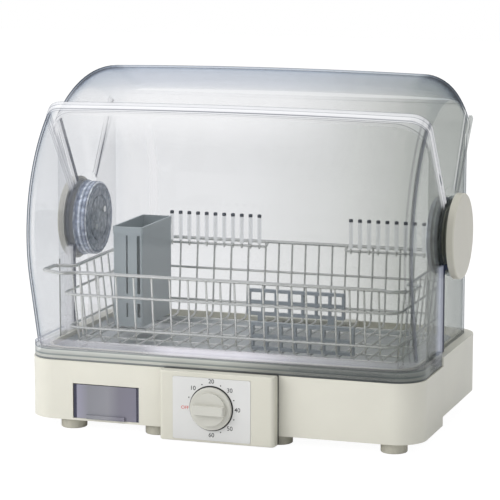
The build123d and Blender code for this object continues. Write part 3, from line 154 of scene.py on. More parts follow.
# Base
# The base is one ivory injection moulding in ABS: a stepped skirt, a ledge that the lid
# closes on, and a deck with a raised wall. Its skin has a faint moulded grain.


def noise_on(tree, scale, detail=2.0):
    """Cloudy noise that is fixed to the object."""
    place = tree.nodes.new("ShaderNodeTexCoord")
    noise = tree.nodes.new("ShaderNodeTexNoise")
    noise.inputs["Scale"].default_value = scale
    noise.inputs["Detail"].default_value = detail
    tree.links.new(place.outputs["Object"], noise.inputs["Vector"])
    return noise.outputs["Fac"]


def shade(colour, share):
    """A colour made darker or lighter."""
    return [min(part * share, 1.0) for part in colour]


def two_tones(tree, value, first, second, start=0.0, end=1.0):
    """Goes from one colour to the other as the value goes from start to end."""
    tones = tree.nodes.new("ShaderNodeValToRGB")
    for mark, where, colour in zip(tones.color_ramp.elements, (start, end), (first, second)):
        mark.position = where
        mark.color = (*colour, 1.0)
    tree.links.new(value, tones.inputs["Fac"])
    return tones.outputs["Color"]


def spread(tree, value, least, most):
    """Turns a value of 0 to 1 into one of least to most."""
    node = tree.nodes.new("ShaderNodeMapRange")
    node.inputs["To Min"].default_value = least
    node.inputs["To Max"].default_value = most
    tree.links.new(value, node.inputs["Value"])
    return node.outputs["Result"]


def moulded_plastic(name, colour, roughness, grain):
    """A moulded plastic: clouds of tone a shade apart, uneven gloss and a fine grain."""
    material = bpy.data.materials.new(name)
    material.use_nodes = True
    tree = material.node_tree
    shader = tree.nodes["Principled BSDF"]
    cloud = noise_on(tree, scale=9.0, detail=4.0)
    tone = two_tones(tree, cloud, shade(colour, 0.95), shade(colour, 1.04), start=0.3, end=0.7)
    tree.links.new(tone, shader.inputs["Base Color"])
    tree.links.new(spread(tree, cloud, roughness - 0.06, roughness + 0.08), shader.inputs["Roughness"])
    bump = tree.nodes.new("ShaderNodeBump")
    bump.inputs["Strength"].default_value = grain
    bump.inputs["Distance"].default_value = 0.0002
    tree.links.new(noise_on(tree, scale=1400.0), bump.inputs["Height"])
    tree.links.new(bump.outputs["Normal"], shader.inputs["Normal"])
    return material


def dress(material, *names):
    """Gives CAD nodes a material."""
    for name in names:
        piece = nodes[name]
        piece.data.materials.clear()
        piece.data.materials.append(material)


ivory = moulded_plastic("ivory_plastic", (0.71, 0.69, 0.60), roughness=0.38, grain=0.25)
dress(ivory, "base_housing", "air_outlet_grille")

# Control box
# A separate ivory moulding screwed to the front of the base, a shade darker than the base. Along
# its sides, where it meets the base, the shade in the gap is painted on as a dark band.
gap_shade_width = 0.0046
gap_shade_edge = 0.0006
seam_shade = 0.04


def place_in(tree):
    """The object's own x, y and z, in metres."""
    place = tree.nodes.new("ShaderNodeTexCoord")
    split = tree.nodes.new("ShaderNodeSeparateXYZ")
    tree.links.new(place.outputs["Object"], split.inputs["Vector"])
    return split.outputs["X"], split.outputs["Y"], split.outputs["Z"]


box_ivory = moulded_plastic("box_ivory", (0.66, 0.64, 0.55), roughness=0.38, grain=0.25)
tree = box_ivory.node_tree
shader = tree.nodes["Principled BSDF"]
away = place_in(tree)[1]
box_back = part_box("control_box")[1][1]
# Painted shade: the back of the box's sides falls to near black, standing in for the shadow in the gap.
gap_shade = tree.nodes.new("ShaderNodeMapRange")
gap_shade.inputs["From Min"].default_value = box_back - gap_shade_width - gap_shade_edge
gap_shade.inputs["From Max"].default_value = box_back - gap_shade_width
gap_shade.inputs["To Min"].default_value = 1.0
gap_shade.inputs["To Max"].default_value = seam_shade
tree.links.new(away, gap_shade.inputs["Value"])
shaded = tree.nodes.new("ShaderNodeVectorMath")
shaded.operation = "SCALE"
tree.links.new(shader.inputs["Base Color"].links[0].from_socket, shaded.inputs[0])
tree.links.new(gap_shade.outputs["Result"], shaded.inputs["Scale"])
tree.links.new(shaded.outputs["Vector"], shader.inputs["Base Color"])
dress(box_ivory, "control_box")

# Underside
# A zinc-plated steel plate closes the rear of the base. Four screws hold it, and under the
# blower it has a row of slots for the air. The motor, the duct and the shafts are plated too.


def plated_steel(name, colour, roughness):
    """Zinc-plated sheet: a cool grey with the cloudy spangle of the plating."""
    material = bpy.data.materials.new(name)
    material.use_nodes = True
    tree = material.node_tree
    shader = tree.nodes["Principled BSDF"]
    shader.inputs["Metallic"].default_value = 1.0
    place = tree.nodes.new("ShaderNodeTexCoord")
    spangle = tree.nodes.new("ShaderNodeTexVoronoi")
    spangle.inputs["Scale"].default_value = 120.0
    tree.links.new(place.outputs["Object"], spangle.inputs["Vector"])
    tone = two_tones(tree, spangle.outputs["Color"], shade(colour, 0.9), colour)
    tree.links.new(tone, shader.inputs["Base Color"])
    gloss = spread(tree, spangle.outputs["Distance"], roughness - 0.05, roughness + 0.1)
    tree.links.new(gloss, shader.inputs["Roughness"])
    return material


zinc = plated_steel("zinc_plate", (0.62, 0.63, 0.64), roughness=0.4)
dress(zinc, "base_bottom_plate", "bottom_plate_screws", "timer_shaft")
dress(zinc, "motor_stator", "motor_bracket_upper", "motor_bracket_lower", "motor_shaft", "motor_rotor")
dress(zinc, "air_duct", "thermal_fuse")

# Feet
# Six short round pads of warm grey moulded rubber, pressed into the underside of the base. They
# are dull, with a faint dusty bloom. The bush of the supply cord is the same rubber.
foot_rubber = moulded_plastic("foot_rubber", (0.52, 0.50, 0.42), roughness=0.75, grain=0.6)
feet = [name for name in nodes if name.startswith("foot_")]
dress(foot_rubber, *feet)
dress(foot_rubber, "cord_bush")

# Face plate
# A thin plate of cool white plastic sheet, glued flat into the front of the control box. The
# dial is screen printed on it.
plate_white = moulded_plastic("plate_white", (0.70, 0.695, 0.675), roughness=0.42, grain=0.1)
dress(plate_white, "face_plate")

# Dial print
# Black minutes, dots between them and a ring under the knob, with OFF in red at the left.
# The numbers stand at every eighth of a turn and are printed on the face plate.
ink_black = moulded_plastic("ink_black", (0.018, 0.018, 0.02), roughness=0.5, grain=0.1)
ink_red = moulded_plastic("ink_red", (0.62, 0.12, 0.10), roughness=0.5, grain=0.1)
print_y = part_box("face_plate")[0][1] - 0.00004
knob_low, knob_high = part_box("timer_knob")
dial_x = (knob_low[0] + knob_high[0]) / 2
dial_z = (knob_low[2] + knob_high[2]) / 2
number_reach = 0.0328
number_size = 0.0074
stroke_gain = 0.00006
dot_reach = 0.0307
dot_radius = 0.0008
ring_radius = 0.0276
ring_width = 0.0022
off_reach = 0.0334
off_drop = 0.0012
off_size = 0.0056
eighth = 45.0
first_number = 135.0
first_dot = 157.5
upright = (pi / 2, 0.0, 0.0)


def printed(name, ink, pieces):
    """Joins flat printed shapes into one thin layer of ink on the face plate."""
    bpy.ops.object.select_all(action="DESELECT")
    for piece in pieces:
        piece.select_set(True)
    bpy.context.view_layer.objects.active = pieces[0]
    bpy.ops.object.join()
    bpy.ops.object.transform_apply(location=True, rotation=True, scale=True)
    layer = bpy.context.object
    layer.name = name
    layer.data.materials.clear()
    layer.data.materials.append(ink)
    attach(layer, "base")


def word(body, x, z, size):
    """One word or number in a plain face, upright on the plate."""
    bpy.ops.object.select_all(action="DESELECT")
    bpy.ops.object.text_add(location=(x, print_y, z), rotation=upright)
    text = bpy.context.object
    text.data.body = body
    text.data.size = size
    text.data.align_x = "CENTER"
    text.data.align_y = "CENTER"
    text.data.offset = stroke_gain
    bpy.ops.object.convert(target="MESH")
    bpy.ops.object.transform_apply(location=True, rotation=True, scale=True)
    return bpy.context.object


def disc(x, z, radius, corners):
    """One flat round disc of ink on the plate."""
    bpy.ops.object.select_all(action="DESELECT")
    bpy.ops.mesh.primitive_circle_add(
        vertices=corners, radius=radius, fill_type="NGON", location=(x, print_y, z), rotation=upright
    )
    return bpy.context.object


def on_dial(reach, turn):
    """The x and z of a point on the dial."""
    return dial_x + reach * cos(radians(turn)), dial_z + reach * sin(radians(turn))


black = []
for step, minutes in enumerate(("10", "20", "30", "40", "50", "60")):
    black.append(word(minutes, *on_dial(number_reach, first_number - eighth * step), number_size))
for step in range(6):
    black.append(disc(*on_dial(dot_reach, first_dot - eighth * step), dot_radius, 20))
ring = disc(dial_x, dial_z, ring_radius, 96)
bpy.ops.object.mode_set(mode="EDIT")
bpy.ops.mesh.select_all(action="SELECT")
bpy.ops.mesh.inset(thickness=ring_width)
bpy.ops.mesh.delete(type="FACE")
bpy.ops.object.mode_set(mode="OBJECT")
black.append(ring)
printed("dial_print", ink_black, black)
printed("off_mark", ink_red, [word("OFF", dial_x - off_reach, dial_z - off_drop, off_size)])

# Knob
# A round knob with a grip bar, moulded in one piece in a greyer plastic than the box. It is
# pushed on to the shaft of the clockwork timer behind it.
knob_grey = moulded_plastic("knob_grey", (0.60, 0.59, 0.53), roughness=0.36, grain=0.2)
dress(knob_grey, "timer_knob")

# Inner workings
# The blower, the timer case and the terminal block are dark moulded plastic, screwed inside the
# base. The heater is wire wound on a frame of mica, with a thermostat beside it.
dark_moulding = moulded_plastic("dark_moulding", (0.10, 0.105, 0.11), roughness=0.5, grain=0.4)
dress(dark_moulding, "timer_body", "fan_housing", "impeller", "thermostat", "terminal_block")
mica = moulded_plastic("mica", (0.45, 0.36, 0.2), roughness=0.45, grain=0.5)
dress(mica, "heater_frame")
dress(zinc, "heater_coil")

# Water receiver
# A drawer moulded in smoky violet styrene, which slides into a pocket at the left of the base.
# Its front has painted shade at both ends, where it meets its pocket, a thin painted highlight
# along the right edge, and a tone that darkens towards the right.


def sums(tree, operation, first, second):
    """One sum. Each side is a socket or a number."""
    node = tree.nodes.new("ShaderNodeMath")
    node.operation = operation
    for entry, side in zip(node.inputs, (first, second)):
        if isinstance(side, float):
            entry.default_value = side
        else:
            tree.links.new(side, entry)
    return node.outputs["Value"]


def ramp(tree, value, low, high, stops):
    """A ramp of tones over a value from low to high. Each stop is its place and its tone."""
    span = tree.nodes.new("ShaderNodeMapRange")
    span.inputs["From Min"].default_value = low
    span.inputs["From Max"].default_value = high
    tree.links.new(value, span.inputs["Value"])
    tones = tree.nodes.new("ShaderNodeValToRGB")
    marks = tones.color_ramp.elements
    while len(marks) < len(stops):
        marks.new(0.5)
    for mark, (where, tone) in zip(marks, stops):
        mark.position = (where - low) / (high - low)
        mark.color = (*tone, 1.0) if isinstance(tone, tuple) else (tone, tone, tone, 1.0)
    tree.links.new(span.outputs["Result"], tones.inputs["Fac"])
    return tones.outputs["Color"]


def edge_on(tree):
    """0 where a surface faces the eye and 1 where it is seen edge on."""
    facing = tree.nodes.new("ShaderNodeLayerWeight")
    facing.inputs["Blend"].default_value = 0.5
    return facing.outputs["Facing"]


plastic_ior = 1.49
most_mirror = 0.12


def clear_plastic(name, tints, gloss, strength):
    """A clear wall: lets light through with a tint that deepens towards the edge-on view."""
    material = bpy.data.materials.new(name)
    material.use_nodes = True
    tree = material.node_tree
    tree.nodes.remove(tree.nodes["Principled BSDF"])
    through = tree.nodes.new("ShaderNodeBsdfTransparent")
    tree.links.new(ramp(tree, edge_on(tree), 0.0, 1.0, tints), through.inputs["Color"])
    shine = tree.nodes.new("ShaderNodeBsdfGlossy")
    shine.inputs["Color"].default_value = (1.0, 1.0, 1.0, 1.0)
    polish = spread(tree, noise_on(tree, scale=6.0), gloss, gloss + 0.05)
    tree.links.new(polish, shine.inputs["Roughness"])
    mirror = tree.nodes.new("ShaderNodeFresnel")
    mirror.inputs["IOR"].default_value = plastic_ior
    share = sums(tree, "MINIMUM", sums(tree, "MULTIPLY", mirror.outputs["Fac"], strength), most_mirror)
    mix = tree.nodes.new("ShaderNodeMixShader")
    tree.links.new(share, mix.inputs["Fac"])
    tree.links.new(through.outputs["BSDF"], mix.inputs[1])
    tree.links.new(shine.outputs["BSDF"], mix.inputs[2])
    tree.links.new(mix.outputs["Shader"], tree.nodes["Material Output"].inputs["Surface"])
    return material


def lay_over(material, share, tone, roughness, shine=0.0):
    """Makes part of a clear wall look solid, as far as share says, in the given tone.

    The tone is a socket or a plain colour. Shine is how far the tone is a painted glow, an
    emission that stands in for the lamps' light caught in the wall, not lit paint.
    """
    tree = material.node_tree
    output = tree.nodes["Material Output"]
    under = output.inputs["Surface"].links[0].from_socket
    solid = tree.nodes.new("ShaderNodeBsdfPrincipled")
    solid.inputs["Roughness"].default_value = roughness
    painted_glow = tree.nodes.new("ShaderNodeEmission")
    for entry in (solid.inputs["Base Color"], painted_glow.inputs["Color"]):
        if isinstance(tone, tuple):
            entry.default_value = (*tone, 1.0)
        else:
            tree.links.new(tone, entry)
    both = tree.nodes.new("ShaderNodeMixShader")
    both.inputs["Fac"].default_value = shine
    tree.links.new(solid.outputs["BSDF"], both.inputs[1])
    tree.links.new(painted_glow.outputs["Emission"], both.inputs[2])
    mix = tree.nodes.new("ShaderNodeMixShader")
    tree.links.new(share, mix.inputs["Fac"])
    tree.links.new(under, mix.inputs[1])
    tree.links.new(both.outputs["Shader"], mix.inputs[2])
    tree.links.new(mix.outputs["Shader"], output.inputs["Surface"])


pocket_shade_left = (0.030, 0.030, 0.065)
pocket_shade_right = (0.02, 0.02, 0.05)
smoke_violet = clear_plastic(
    "smoke_violet", ((0.3, (0.70, 0.69, 0.76)), (1.0, (0.25, 0.25, 0.36))), gloss=0.08, strength=0.8
)
low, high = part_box("water_receiver")
tree = smoke_violet.node_tree
along, _, up = place_in(tree)
milk = ramp(tree, up, low[2], high[2], ((low[2], 0.85), (low[2] + 0.008, 0.8), (high[2], 0.72)))
# The tone holds painted shade at both ends, a painted highlight at the right edge and a darkening to the
# right.
haze_and_painted_light = ramp(
    tree, along, low[0], high[0],
    (
        (low[0], pocket_shade_left), (low[0] + 0.0040, (0.035, 0.035, 0.07)),
        (low[0] + 0.0052, (0.38, 0.37, 0.46)), (low[0] + 0.020, (0.30, 0.30, 0.33)),
        (low[0] + 0.045, (0.34, 0.34, 0.37)), (high[0] - 0.025, (0.25, 0.24, 0.29)),
        (high[0] - 0.0035, (0.26, 0.25, 0.31)), (high[0] - 0.0026, pocket_shade_right),
        (high[0] - 0.0012, pocket_shade_right), (high[0] - 0.0004, (0.45, 0.45, 0.52)),
    ),
)
lay_over(smoke_violet, milk, haze_and_painted_light, roughness=0.22)
dress(smoke_violet, "water_receiver")

# Drain tray
# A thin tray pressed from stainless sheet, which lies loose on the deck. It is satin from
# washing, and its drain dips into the base.
tray_steel = plated_steel("tray_steel", (0.88, 0.90, 0.91), roughness=0.32)
dress(tray_steel, "drain_tray")

# Rear cover
# A fixed dome moulded in clear smoky polycarbonate, with a fan-shaped hollow in each end wall.
# The hollow's straight edges are painted on as a highlight line beside a dark one.


def product(tree, *shares):
    """Shares multiplied together."""
    total = shares[0]
    for share in shares[1:]:
        total = sums(tree, "MULTIPLY", total, share)
    return total


def rises(tree, value, low, start, end, high):
    """0 from low to start and 1 from end to high."""
    return ramp(tree, value, low, high, ((low, 0.0), (start, 0.0), (end, 1.0), (high, 1.0)))


def falls(tree, value, low, start, end, high):
    """1 from low to start and 0 from end to high."""
    return ramp(tree, value, low, high, ((low, 1.0), (start, 1.0), (end, 0.0), (high, 0.0)))


def size_of(tree, value):
    """A value without its sign."""
    return sums(tree, "ABSOLUTE", value, 0.0)


def normal_in(tree):
    """How far a surface is turned to the object's own x, y and z, without the sign."""
    normal = tree.nodes.new("ShaderNodeTexCoord")
    split = tree.nodes.new("ShaderNodeSeparateXYZ")
    tree.links.new(normal.outputs["Normal"], split.inputs["Vector"])
    return [size_of(tree, split.outputs[axis]) for axis in "XYZ"]


def tint(tree, tone, share=None):
    """Deepens what a clear wall lets through by a tone, as far as share says."""
    through = next(node for node in tree.nodes if node.bl_idname == "ShaderNodeBsdfTransparent")
    blend = tree.nodes.new("ShaderNodeMix")
    blend.data_type = "RGBA"
    blend.blend_type = "MULTIPLY"
    blend.inputs["Factor"].default_value = 1.0
    tree.links.new(through.inputs["Color"].links[0].from_socket, blend.inputs[6])
    tree.links.new(tone, blend.inputs[7])
    if share is not None:
        tree.links.new(share, blend.inputs["Factor"])
    tree.links.new(blend.outputs[2], through.inputs["Color"])


left_side = -0.25
right_side = 0.25


def smoky_wall(name, line):
    """The clear smoky plastic, its tone deepened at the far left end and, as painted shade, more and more
    towards the right. Its bends darken from line on.
    """
    material = clear_plastic(
        name,
        (
            (0.0, (0.955, 0.956, 0.960)), (0.5, (0.962, 0.963, 0.968)), (0.70, (0.972, 0.973, 0.978)),
            (0.84, (0.950, 0.957, 0.968)), (0.93, (0.76, 0.79, 0.83)), (1.0, (0.06, 0.08, 0.11)),
        ),
        gloss=0.03, strength=0.6,
    )
    tree = material.node_tree
    along = place_in(tree)[0]
    # Painted shade: the tone deepens towards the right, away from the light.
    painted_shade_across = ramp(
        tree, along, left_side, right_side,
        (
            (left_side, (0.880, 0.892, 0.905)), (-0.245, (0.890, 0.902, 0.912)),
            (-0.240, (0.972, 0.974, 0.976)), (-0.10, (0.985, 0.985, 0.985)),
            (0.05, (0.955, 0.957, 0.955)), (0.17, (0.885, 0.888, 0.876)), (right_side, (0.785, 0.796, 0.776)),
        ),
    )
    tint(tree, painted_shade_across)
    turned = normal_in(tree)
    bend = sums(tree, "MINIMUM", turned[0], sums(tree, "MAXIMUM", turned[1], turned[2]))
    in_bend = rises(tree, bend, 0.0, 0.04, 0.30, 1.0)
    corner = ramp(
        tree, edge_on(tree), 0.0, 1.0,
        (
            (0.0, (0.99, 0.99, 0.99)), (line - 0.35, (0.97, 0.975, 0.98)),
            (line - 0.20, (0.90, 0.915, 0.925)), (line - 0.08, (0.80, 0.82, 0.85)),
            (line, (0.32, 0.36, 0.42)), (1.0, (0.03, 0.04, 0.07)),
        ),
    )
    tint(tree, corner, in_bend)
    on_roof = rises(tree, turned[2], 0.0, 0.15, 0.85, 1.0)
    roof = ramp(
        tree, edge_on(tree), 0.0, 1.0,
        (
            (0.0, (1.0, 1.0, 1.0)), (0.42, (1.0, 1.0, 1.0)), (0.60, (0.945, 0.955, 0.972)),
            (0.80, (0.900, 0.918, 0.945)), (0.93, (0.90, 0.918, 0.945)), (1.0, (0.5, 0.52, 0.56)),
        ),
    )
    tint(tree, roof, on_roof)
    return material


def round_hub(tree):
    """How far a point is from the hub axis, and its turn from the top, forward being positive."""
    away, up = place_in(tree)[1:]
    ahead = sums(tree, "SUBTRACT", hub_y, away)
    above = sums(tree, "SUBTRACT", up, hub_z)
    squares = sums(tree, "ADD", product(tree, ahead, ahead), product(tree, above, above))
    return sums(tree, "POWER", squares, 0.5), sums(tree, "ARCTAN2", ahead, above)


hub_low, hub_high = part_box("hub_cap_right")
hub_y = (hub_low[1] + hub_high[1]) / 2
hub_z = (hub_low[2] + hub_high[2]) / 2
end_wall = 0.2365
fan_turn = radians(32.0)
lid_turn = radians(36.5)
glint = (0.97, 0.97, 0.98)
white_line = (0.97, 0.97, 0.99)
dark_line = (0.03, 0.04, 0.07)
soft_line = (0.12, 0.14, 0.18)
lap_line = (0.25, 0.26, 0.29)
cover_clear = smoky_wall("cover_clear", 0.84)
tree = cover_clear.node_tree
along, away, up = place_in(tree)
reach, turn = round_hub(tree)
ends = rises(tree, size_of(tree, along), 0.2, end_wall, end_wall + 0.0002, right_side)

# The two edges of the hollow lie at the same turn before and behind the top of the hub.
wrap = tree.nodes.new("ShaderNodeMath")
wrap.operation = "WRAP"
wrap.inputs[1].default_value = fan_turn
wrap.inputs[2].default_value = -fan_turn
tree.links.new(sums(tree, "SUBTRACT", turn, fan_turn), wrap.inputs[0])
offset = product(tree, wrap.outputs["Value"], reach)
# A painted highlight line beside a dark line along the hollow's edges, half of it glow, fainter to the right.
lines = ramp(
    tree, offset, -0.008, 0.016,
    (
        (-0.008, 0.0), (-0.0050, 0.0), (-0.0044, 0.9), (0.0006, 0.9), (0.0012, 0.75), (0.0072, 0.75),
        (0.0078, 0.0), (0.0098, 0.0), (0.0102, 0.5), (0.0120, 0.5), (0.0126, 0.0), (0.016, 0.0),
    ),
)
line_tone = ramp(
    tree, offset, -0.008, 0.016,
    (
        (-0.008, dark_line), (0.0006, dark_line), (0.0012, white_line), (0.0078, white_line),
        (0.0098, soft_line), (0.016, soft_line),
    ),
)
paler_right = ramp(
    tree, along, left_side, right_side,
    ((left_side, 1.0), (-0.1, 1.0), (0.1, 0.5), (right_side, 0.5)),
)
from_hub = ramp(
    tree, reach, 0.0, 0.2,
    ((0.0, 0.0), (0.058, 0.0), (0.060, 1.0), (0.176, 1.0), (0.178, 0.0), (0.2, 0.0)),
)
in_fan = falls(tree, size_of(tree, turn), 0.0, 0.66, 0.67, 1.0)
line_share = product(tree, lines, paler_right, from_hub, in_fan, ends)
lay_over(cover_clear, line_share, line_tone, roughness=0.2, shine=0.5)

# The bend from the left end wall to the back catches the light.
rear_bend = ramp(
    tree, along, -0.205, -0.175,
    ((-0.205, 0.0), (-0.199, 0.0), (-0.195, 0.55), (-0.188, 0.85), (-0.185, 0.0), (-0.175, 0.0)),
)
bend_up = ramp(tree, up, 0.1, 0.4, ((0.1, 0.6), (0.20, 1.0), (0.31, 1.0), (0.36, 0.0), (0.4, 0.0)))
at_back = rises(tree, away, 0.1, 0.12, 0.13, 0.17)
lay_over(cover_clear, product(tree, rear_bend, bend_up, at_back), glint, roughness=0.2, shine=0.9)

# The end walls look greyer behind the hollow.
behind = ramp(tree, turn, -1.6, -0.5, ((-1.6, 0.16), (-0.66, 0.16), (-0.60, 0.0), (-0.5, 0.0)))
lay_over(cover_clear, product(tree, behind, ends), (0.34, 0.35, 0.37), roughness=0.3, shine=0.5)

# A painted highlight lies on the roof just above the lid's edge.
over_lid = ramp(
    tree, turn, 0.3, 0.7,
    ((0.3, 0.0), (0.40, 0.0), (0.50, 0.32), (0.63, 0.32), (0.64, 0.0), (0.7, 0.0)),
)
mid_roof = ramp(
    tree, along, left_side, right_side,
    ((left_side, 0.0), (-0.21, 0.3), (-0.1, 1.0), (0.06, 0.9), (0.15, 0.25), (0.21, 0.0), (right_side, 0.0)),
)
on_top = rises(tree, reach, 0.0, 0.180, 0.188, 0.3)
lay_over(cover_clear, product(tree, over_lid, mid_roof, on_top), glint, roughness=0.2, shine=0.9)

# The front edges of the end walls are dark below the hub.
below_hub = falls(tree, up, 0.09, 0.195, 0.197, 0.25)
front_edge = ramp(
    tree, away, -0.07, -0.03,
    ((-0.07, 0.0), (-0.0540, 0.0), (-0.0535, 0.6), (-0.0475, 0.6), (-0.0470, 0.0), (-0.03, 0.0)),
)
lay_over(cover_clear, product(tree, below_hub, front_edge, ends), (0.24, 0.25, 0.23), roughness=0.3)

# Where the lid's bead laps over the dome, a painted highlight band with a fine dark line shows through.
lap_offset = product(tree, sums(tree, "SUBTRACT", turn, lid_turn), reach)
lap = ramp(
    tree, lap_offset, -0.002, 0.02,
    (
        (-0.002, 0.0), (0.0010, 0.0), (0.0014, 0.78), (0.0120, 0.78), (0.0124, 0.45), (0.0132, 0.45),
        (0.0136, 0.7), (0.02, 0.7),
    ),
)
lap_tone = ramp(
    tree, lap_offset, -0.002, 0.02,
    ((-0.002, glint), (0.0120, glint), (0.0124, lap_line), (0.0132, lap_line), (0.0136, glint)),
)
in_lap = rises(tree, reach, 0.0, 0.150, 0.160, 0.3)
high_up = rises(tree, up, 0.2, 0.30, 0.31, 0.4)
lay_over(cover_clear, product(tree, lap, in_lap, high_up), lap_tone, roughness=0.25, shine=0.85)

# Between the drum and the cap the wall looks mottled, and on the left end it catches light.
spot_tone = ramp(
    tree, noise_on(tree, scale=160.0), 0.3, 0.7,
    ((0.3, (0.20, 0.235, 0.31)), (0.5, (0.36, 0.40, 0.48)), (0.7, (0.72, 0.76, 0.83))),
)
spot = ramp(tree, reach, 0.0, 0.06, ((0.0, 0.62), (0.0475, 0.62), (0.0485, 0.0), (0.06, 0.0)))
spot = product(tree, spot, ends)
lay_over(cover_clear, spot, spot_tone, roughness=0.3)
at_left = falls(tree, along, -0.25, -0.21, -0.205, -0.2)
lay_over(cover_clear, product(tree, spot, at_left), spot_tone, roughness=0.3, shine=0.75)
dress(cover_clear, "rear_cover")

# Front lid
# The same plastic in its own moulding, which swings on the hubs. A raised bead of fine lines
# runs along its upper edge, the cut ends of its walls look dark, and its thick flange is grey.


def toned(tree, first, second):
    """Two colours multiplied together."""
    node = tree.nodes.new("ShaderNodeVectorMath")
    node.operation = "MULTIPLY"
    tree.links.new(first, node.inputs[0])
    tree.links.new(second, node.inputs[1])
    return node.outputs["Vector"]


rear_edge = 0.00875
flange_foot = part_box("front_lid")[0][2]
bead_edge = (0.20, 0.22, 0.26)
bead_line = (0.22, 0.24, 0.28)
bead_dark = (0.10, 0.12, 0.16)
navy_edge = (0.045, 0.052, 0.080)
flange_dark = (0.13, 0.14, 0.14)
flange_beige = (0.62, 0.62, 0.57)
flange_line = (0.16, 0.18, 0.18)
flange_top = (0.15, 0.17, 0.18)
lid_clear = smoky_wall("lid_clear", 0.70)
tree = lid_clear.node_tree
along, away, up = place_in(tree)
reach, turn = round_hub(tree)

# The bead along the upper edge, painted as two highlighted rolls with dark lines beside them.
offset = product(tree, sums(tree, "SUBTRACT", turn, lid_turn), reach)
bead = ramp(
    tree, offset, -0.001, 0.014,
    (
        (-0.001, 0.40), (0.0003, 0.40), (0.0007, 0.62), (0.0050, 0.62), (0.0053, 0.45),
        (0.0059, 0.45), (0.0062, 0.62), (0.0110, 0.62), (0.0113, 0.6), (0.0119, 0.6),
        (0.0121, 0.35), (0.0135, 0.35), (0.0137, 0.0),
    ),
)
bead_tone = ramp(
    tree, offset, -0.001, 0.014,
    (
        (-0.001, bead_edge), (0.0004, bead_edge), (0.0007, white_line), (0.0050, white_line),
        (0.0053, bead_line), (0.0059, bead_line), (0.0062, white_line), (0.0110, white_line),
        (0.0113, bead_dark), (0.0119, bead_dark), (0.0122, white_line),
    ),
)
past_ring = rises(tree, reach, 0.0, 0.056, 0.060, 0.2)
lay_over(lid_clear, product(tree, bead, past_ring), bead_tone, roughness=0.2, shine=0.6)

# A painted highlight lies on the wall just below the bead.
under_bead = ramp(
    tree, offset, 0.01, 0.07,
    ((0.01, 0.0), (0.0138, 0.0), (0.0155, 0.40), (0.030, 0.32), (0.050, 0.12), (0.065, 0.0), (0.07, 0.0)),
)
mid_wall = ramp(
    tree, along, left_side, right_side,
    ((left_side, 0.0), (-0.22, 0.0), (-0.16, 0.8), (0.0, 1.0), (0.10, 0.45), (0.16, 0.0), (right_side, 0.0)),
)
outer = rises(tree, reach, 0.0, 0.150, 0.165, 0.3)
lay_over(lid_clear, product(tree, under_bead, mid_wall, outer), glint, roughness=0.3, shine=0.85)

# The rear edges of the end walls are navy with a painted highlight strip before them, both painted dimmer on
# the right, away from the light.
below_hub = falls(tree, up, 0.09, 0.205, 0.207, 0.25)
edge_start, edge_end = rear_edge - 0.04, rear_edge + 0.004
edge = ramp(
    tree, away, edge_start, edge_end,
    (
        (edge_start, 0.0), (rear_edge - 0.034, 0.0), (rear_edge - 0.028, 0.45),
        (rear_edge - 0.0090, 0.55), (rear_edge - 0.0085, 0.94), (rear_edge + 0.0008, 0.94),
        (rear_edge + 0.0010, 0.0), (edge_end, 0.0),
    ),
)
edge_tone = ramp(
    tree, away, edge_start, edge_end,
    (
        (edge_start, white_line), (rear_edge - 0.0090, white_line),
        (rear_edge - 0.0085, navy_edge), (edge_end, navy_edge),
    ),
)
dimmer_right = ramp(
    tree, along, left_side, right_side,
    (
        (left_side, (1.0, 1.0, 1.0)), (-0.1, (1.0, 1.0, 1.0)), (0.1, (0.5, 0.53, 0.62)),
        (right_side, (0.5, 0.53, 0.62)),
    ),
)
edge_tone = toned(tree, edge_tone, dimmer_right)
lay_over(lid_clear, product(tree, below_hub, edge), edge_tone, roughness=0.3, shine=0.7)

# The flange along the foot, in bands, with painted light making them lighter on the left and darker to the
# right, and a lilac painted highlight in the lip above it.
flange_low, flange_high = flange_foot - 0.001, flange_foot + 0.030
flange = ramp(
    tree, up, flange_low, flange_high,
    (
        (flange_low, 0.8), (flange_foot + 0.0020, 0.8), (flange_foot + 0.0025, 0.45),
        (flange_foot + 0.0050, 0.45), (flange_foot + 0.0055, 0.75), (flange_foot + 0.0072, 0.75),
        (flange_foot + 0.0078, 0.45), (flange_foot + 0.0120, 0.45), (flange_foot + 0.0124, 0.65),
        (flange_foot + 0.0136, 0.65), (flange_foot + 0.0142, 0.0),
    ),
)
flange_tone = ramp(
    tree, up, flange_low, flange_high,
    (
        (flange_low, flange_dark), (flange_foot + 0.0020, flange_dark),
        (flange_foot + 0.0025, flange_beige), (flange_foot + 0.0050, flange_beige),
        (flange_foot + 0.0055, flange_line), (flange_foot + 0.0072, flange_line),
        (flange_foot + 0.0078, (0.50, 0.51, 0.48)), (flange_foot + 0.0120, (0.58, 0.59, 0.56)),
        (flange_foot + 0.0124, flange_top), (flange_foot + 0.0136, flange_top),
        (flange_foot + 0.0142, (0.80, 0.80, 0.84)),
    ),
)
at_front = ramp(tree, away, -0.15, -0.05, ((-0.15, 1.0), (-0.085, 1.0), (-0.07, 0.35), (-0.05, 0.35)))
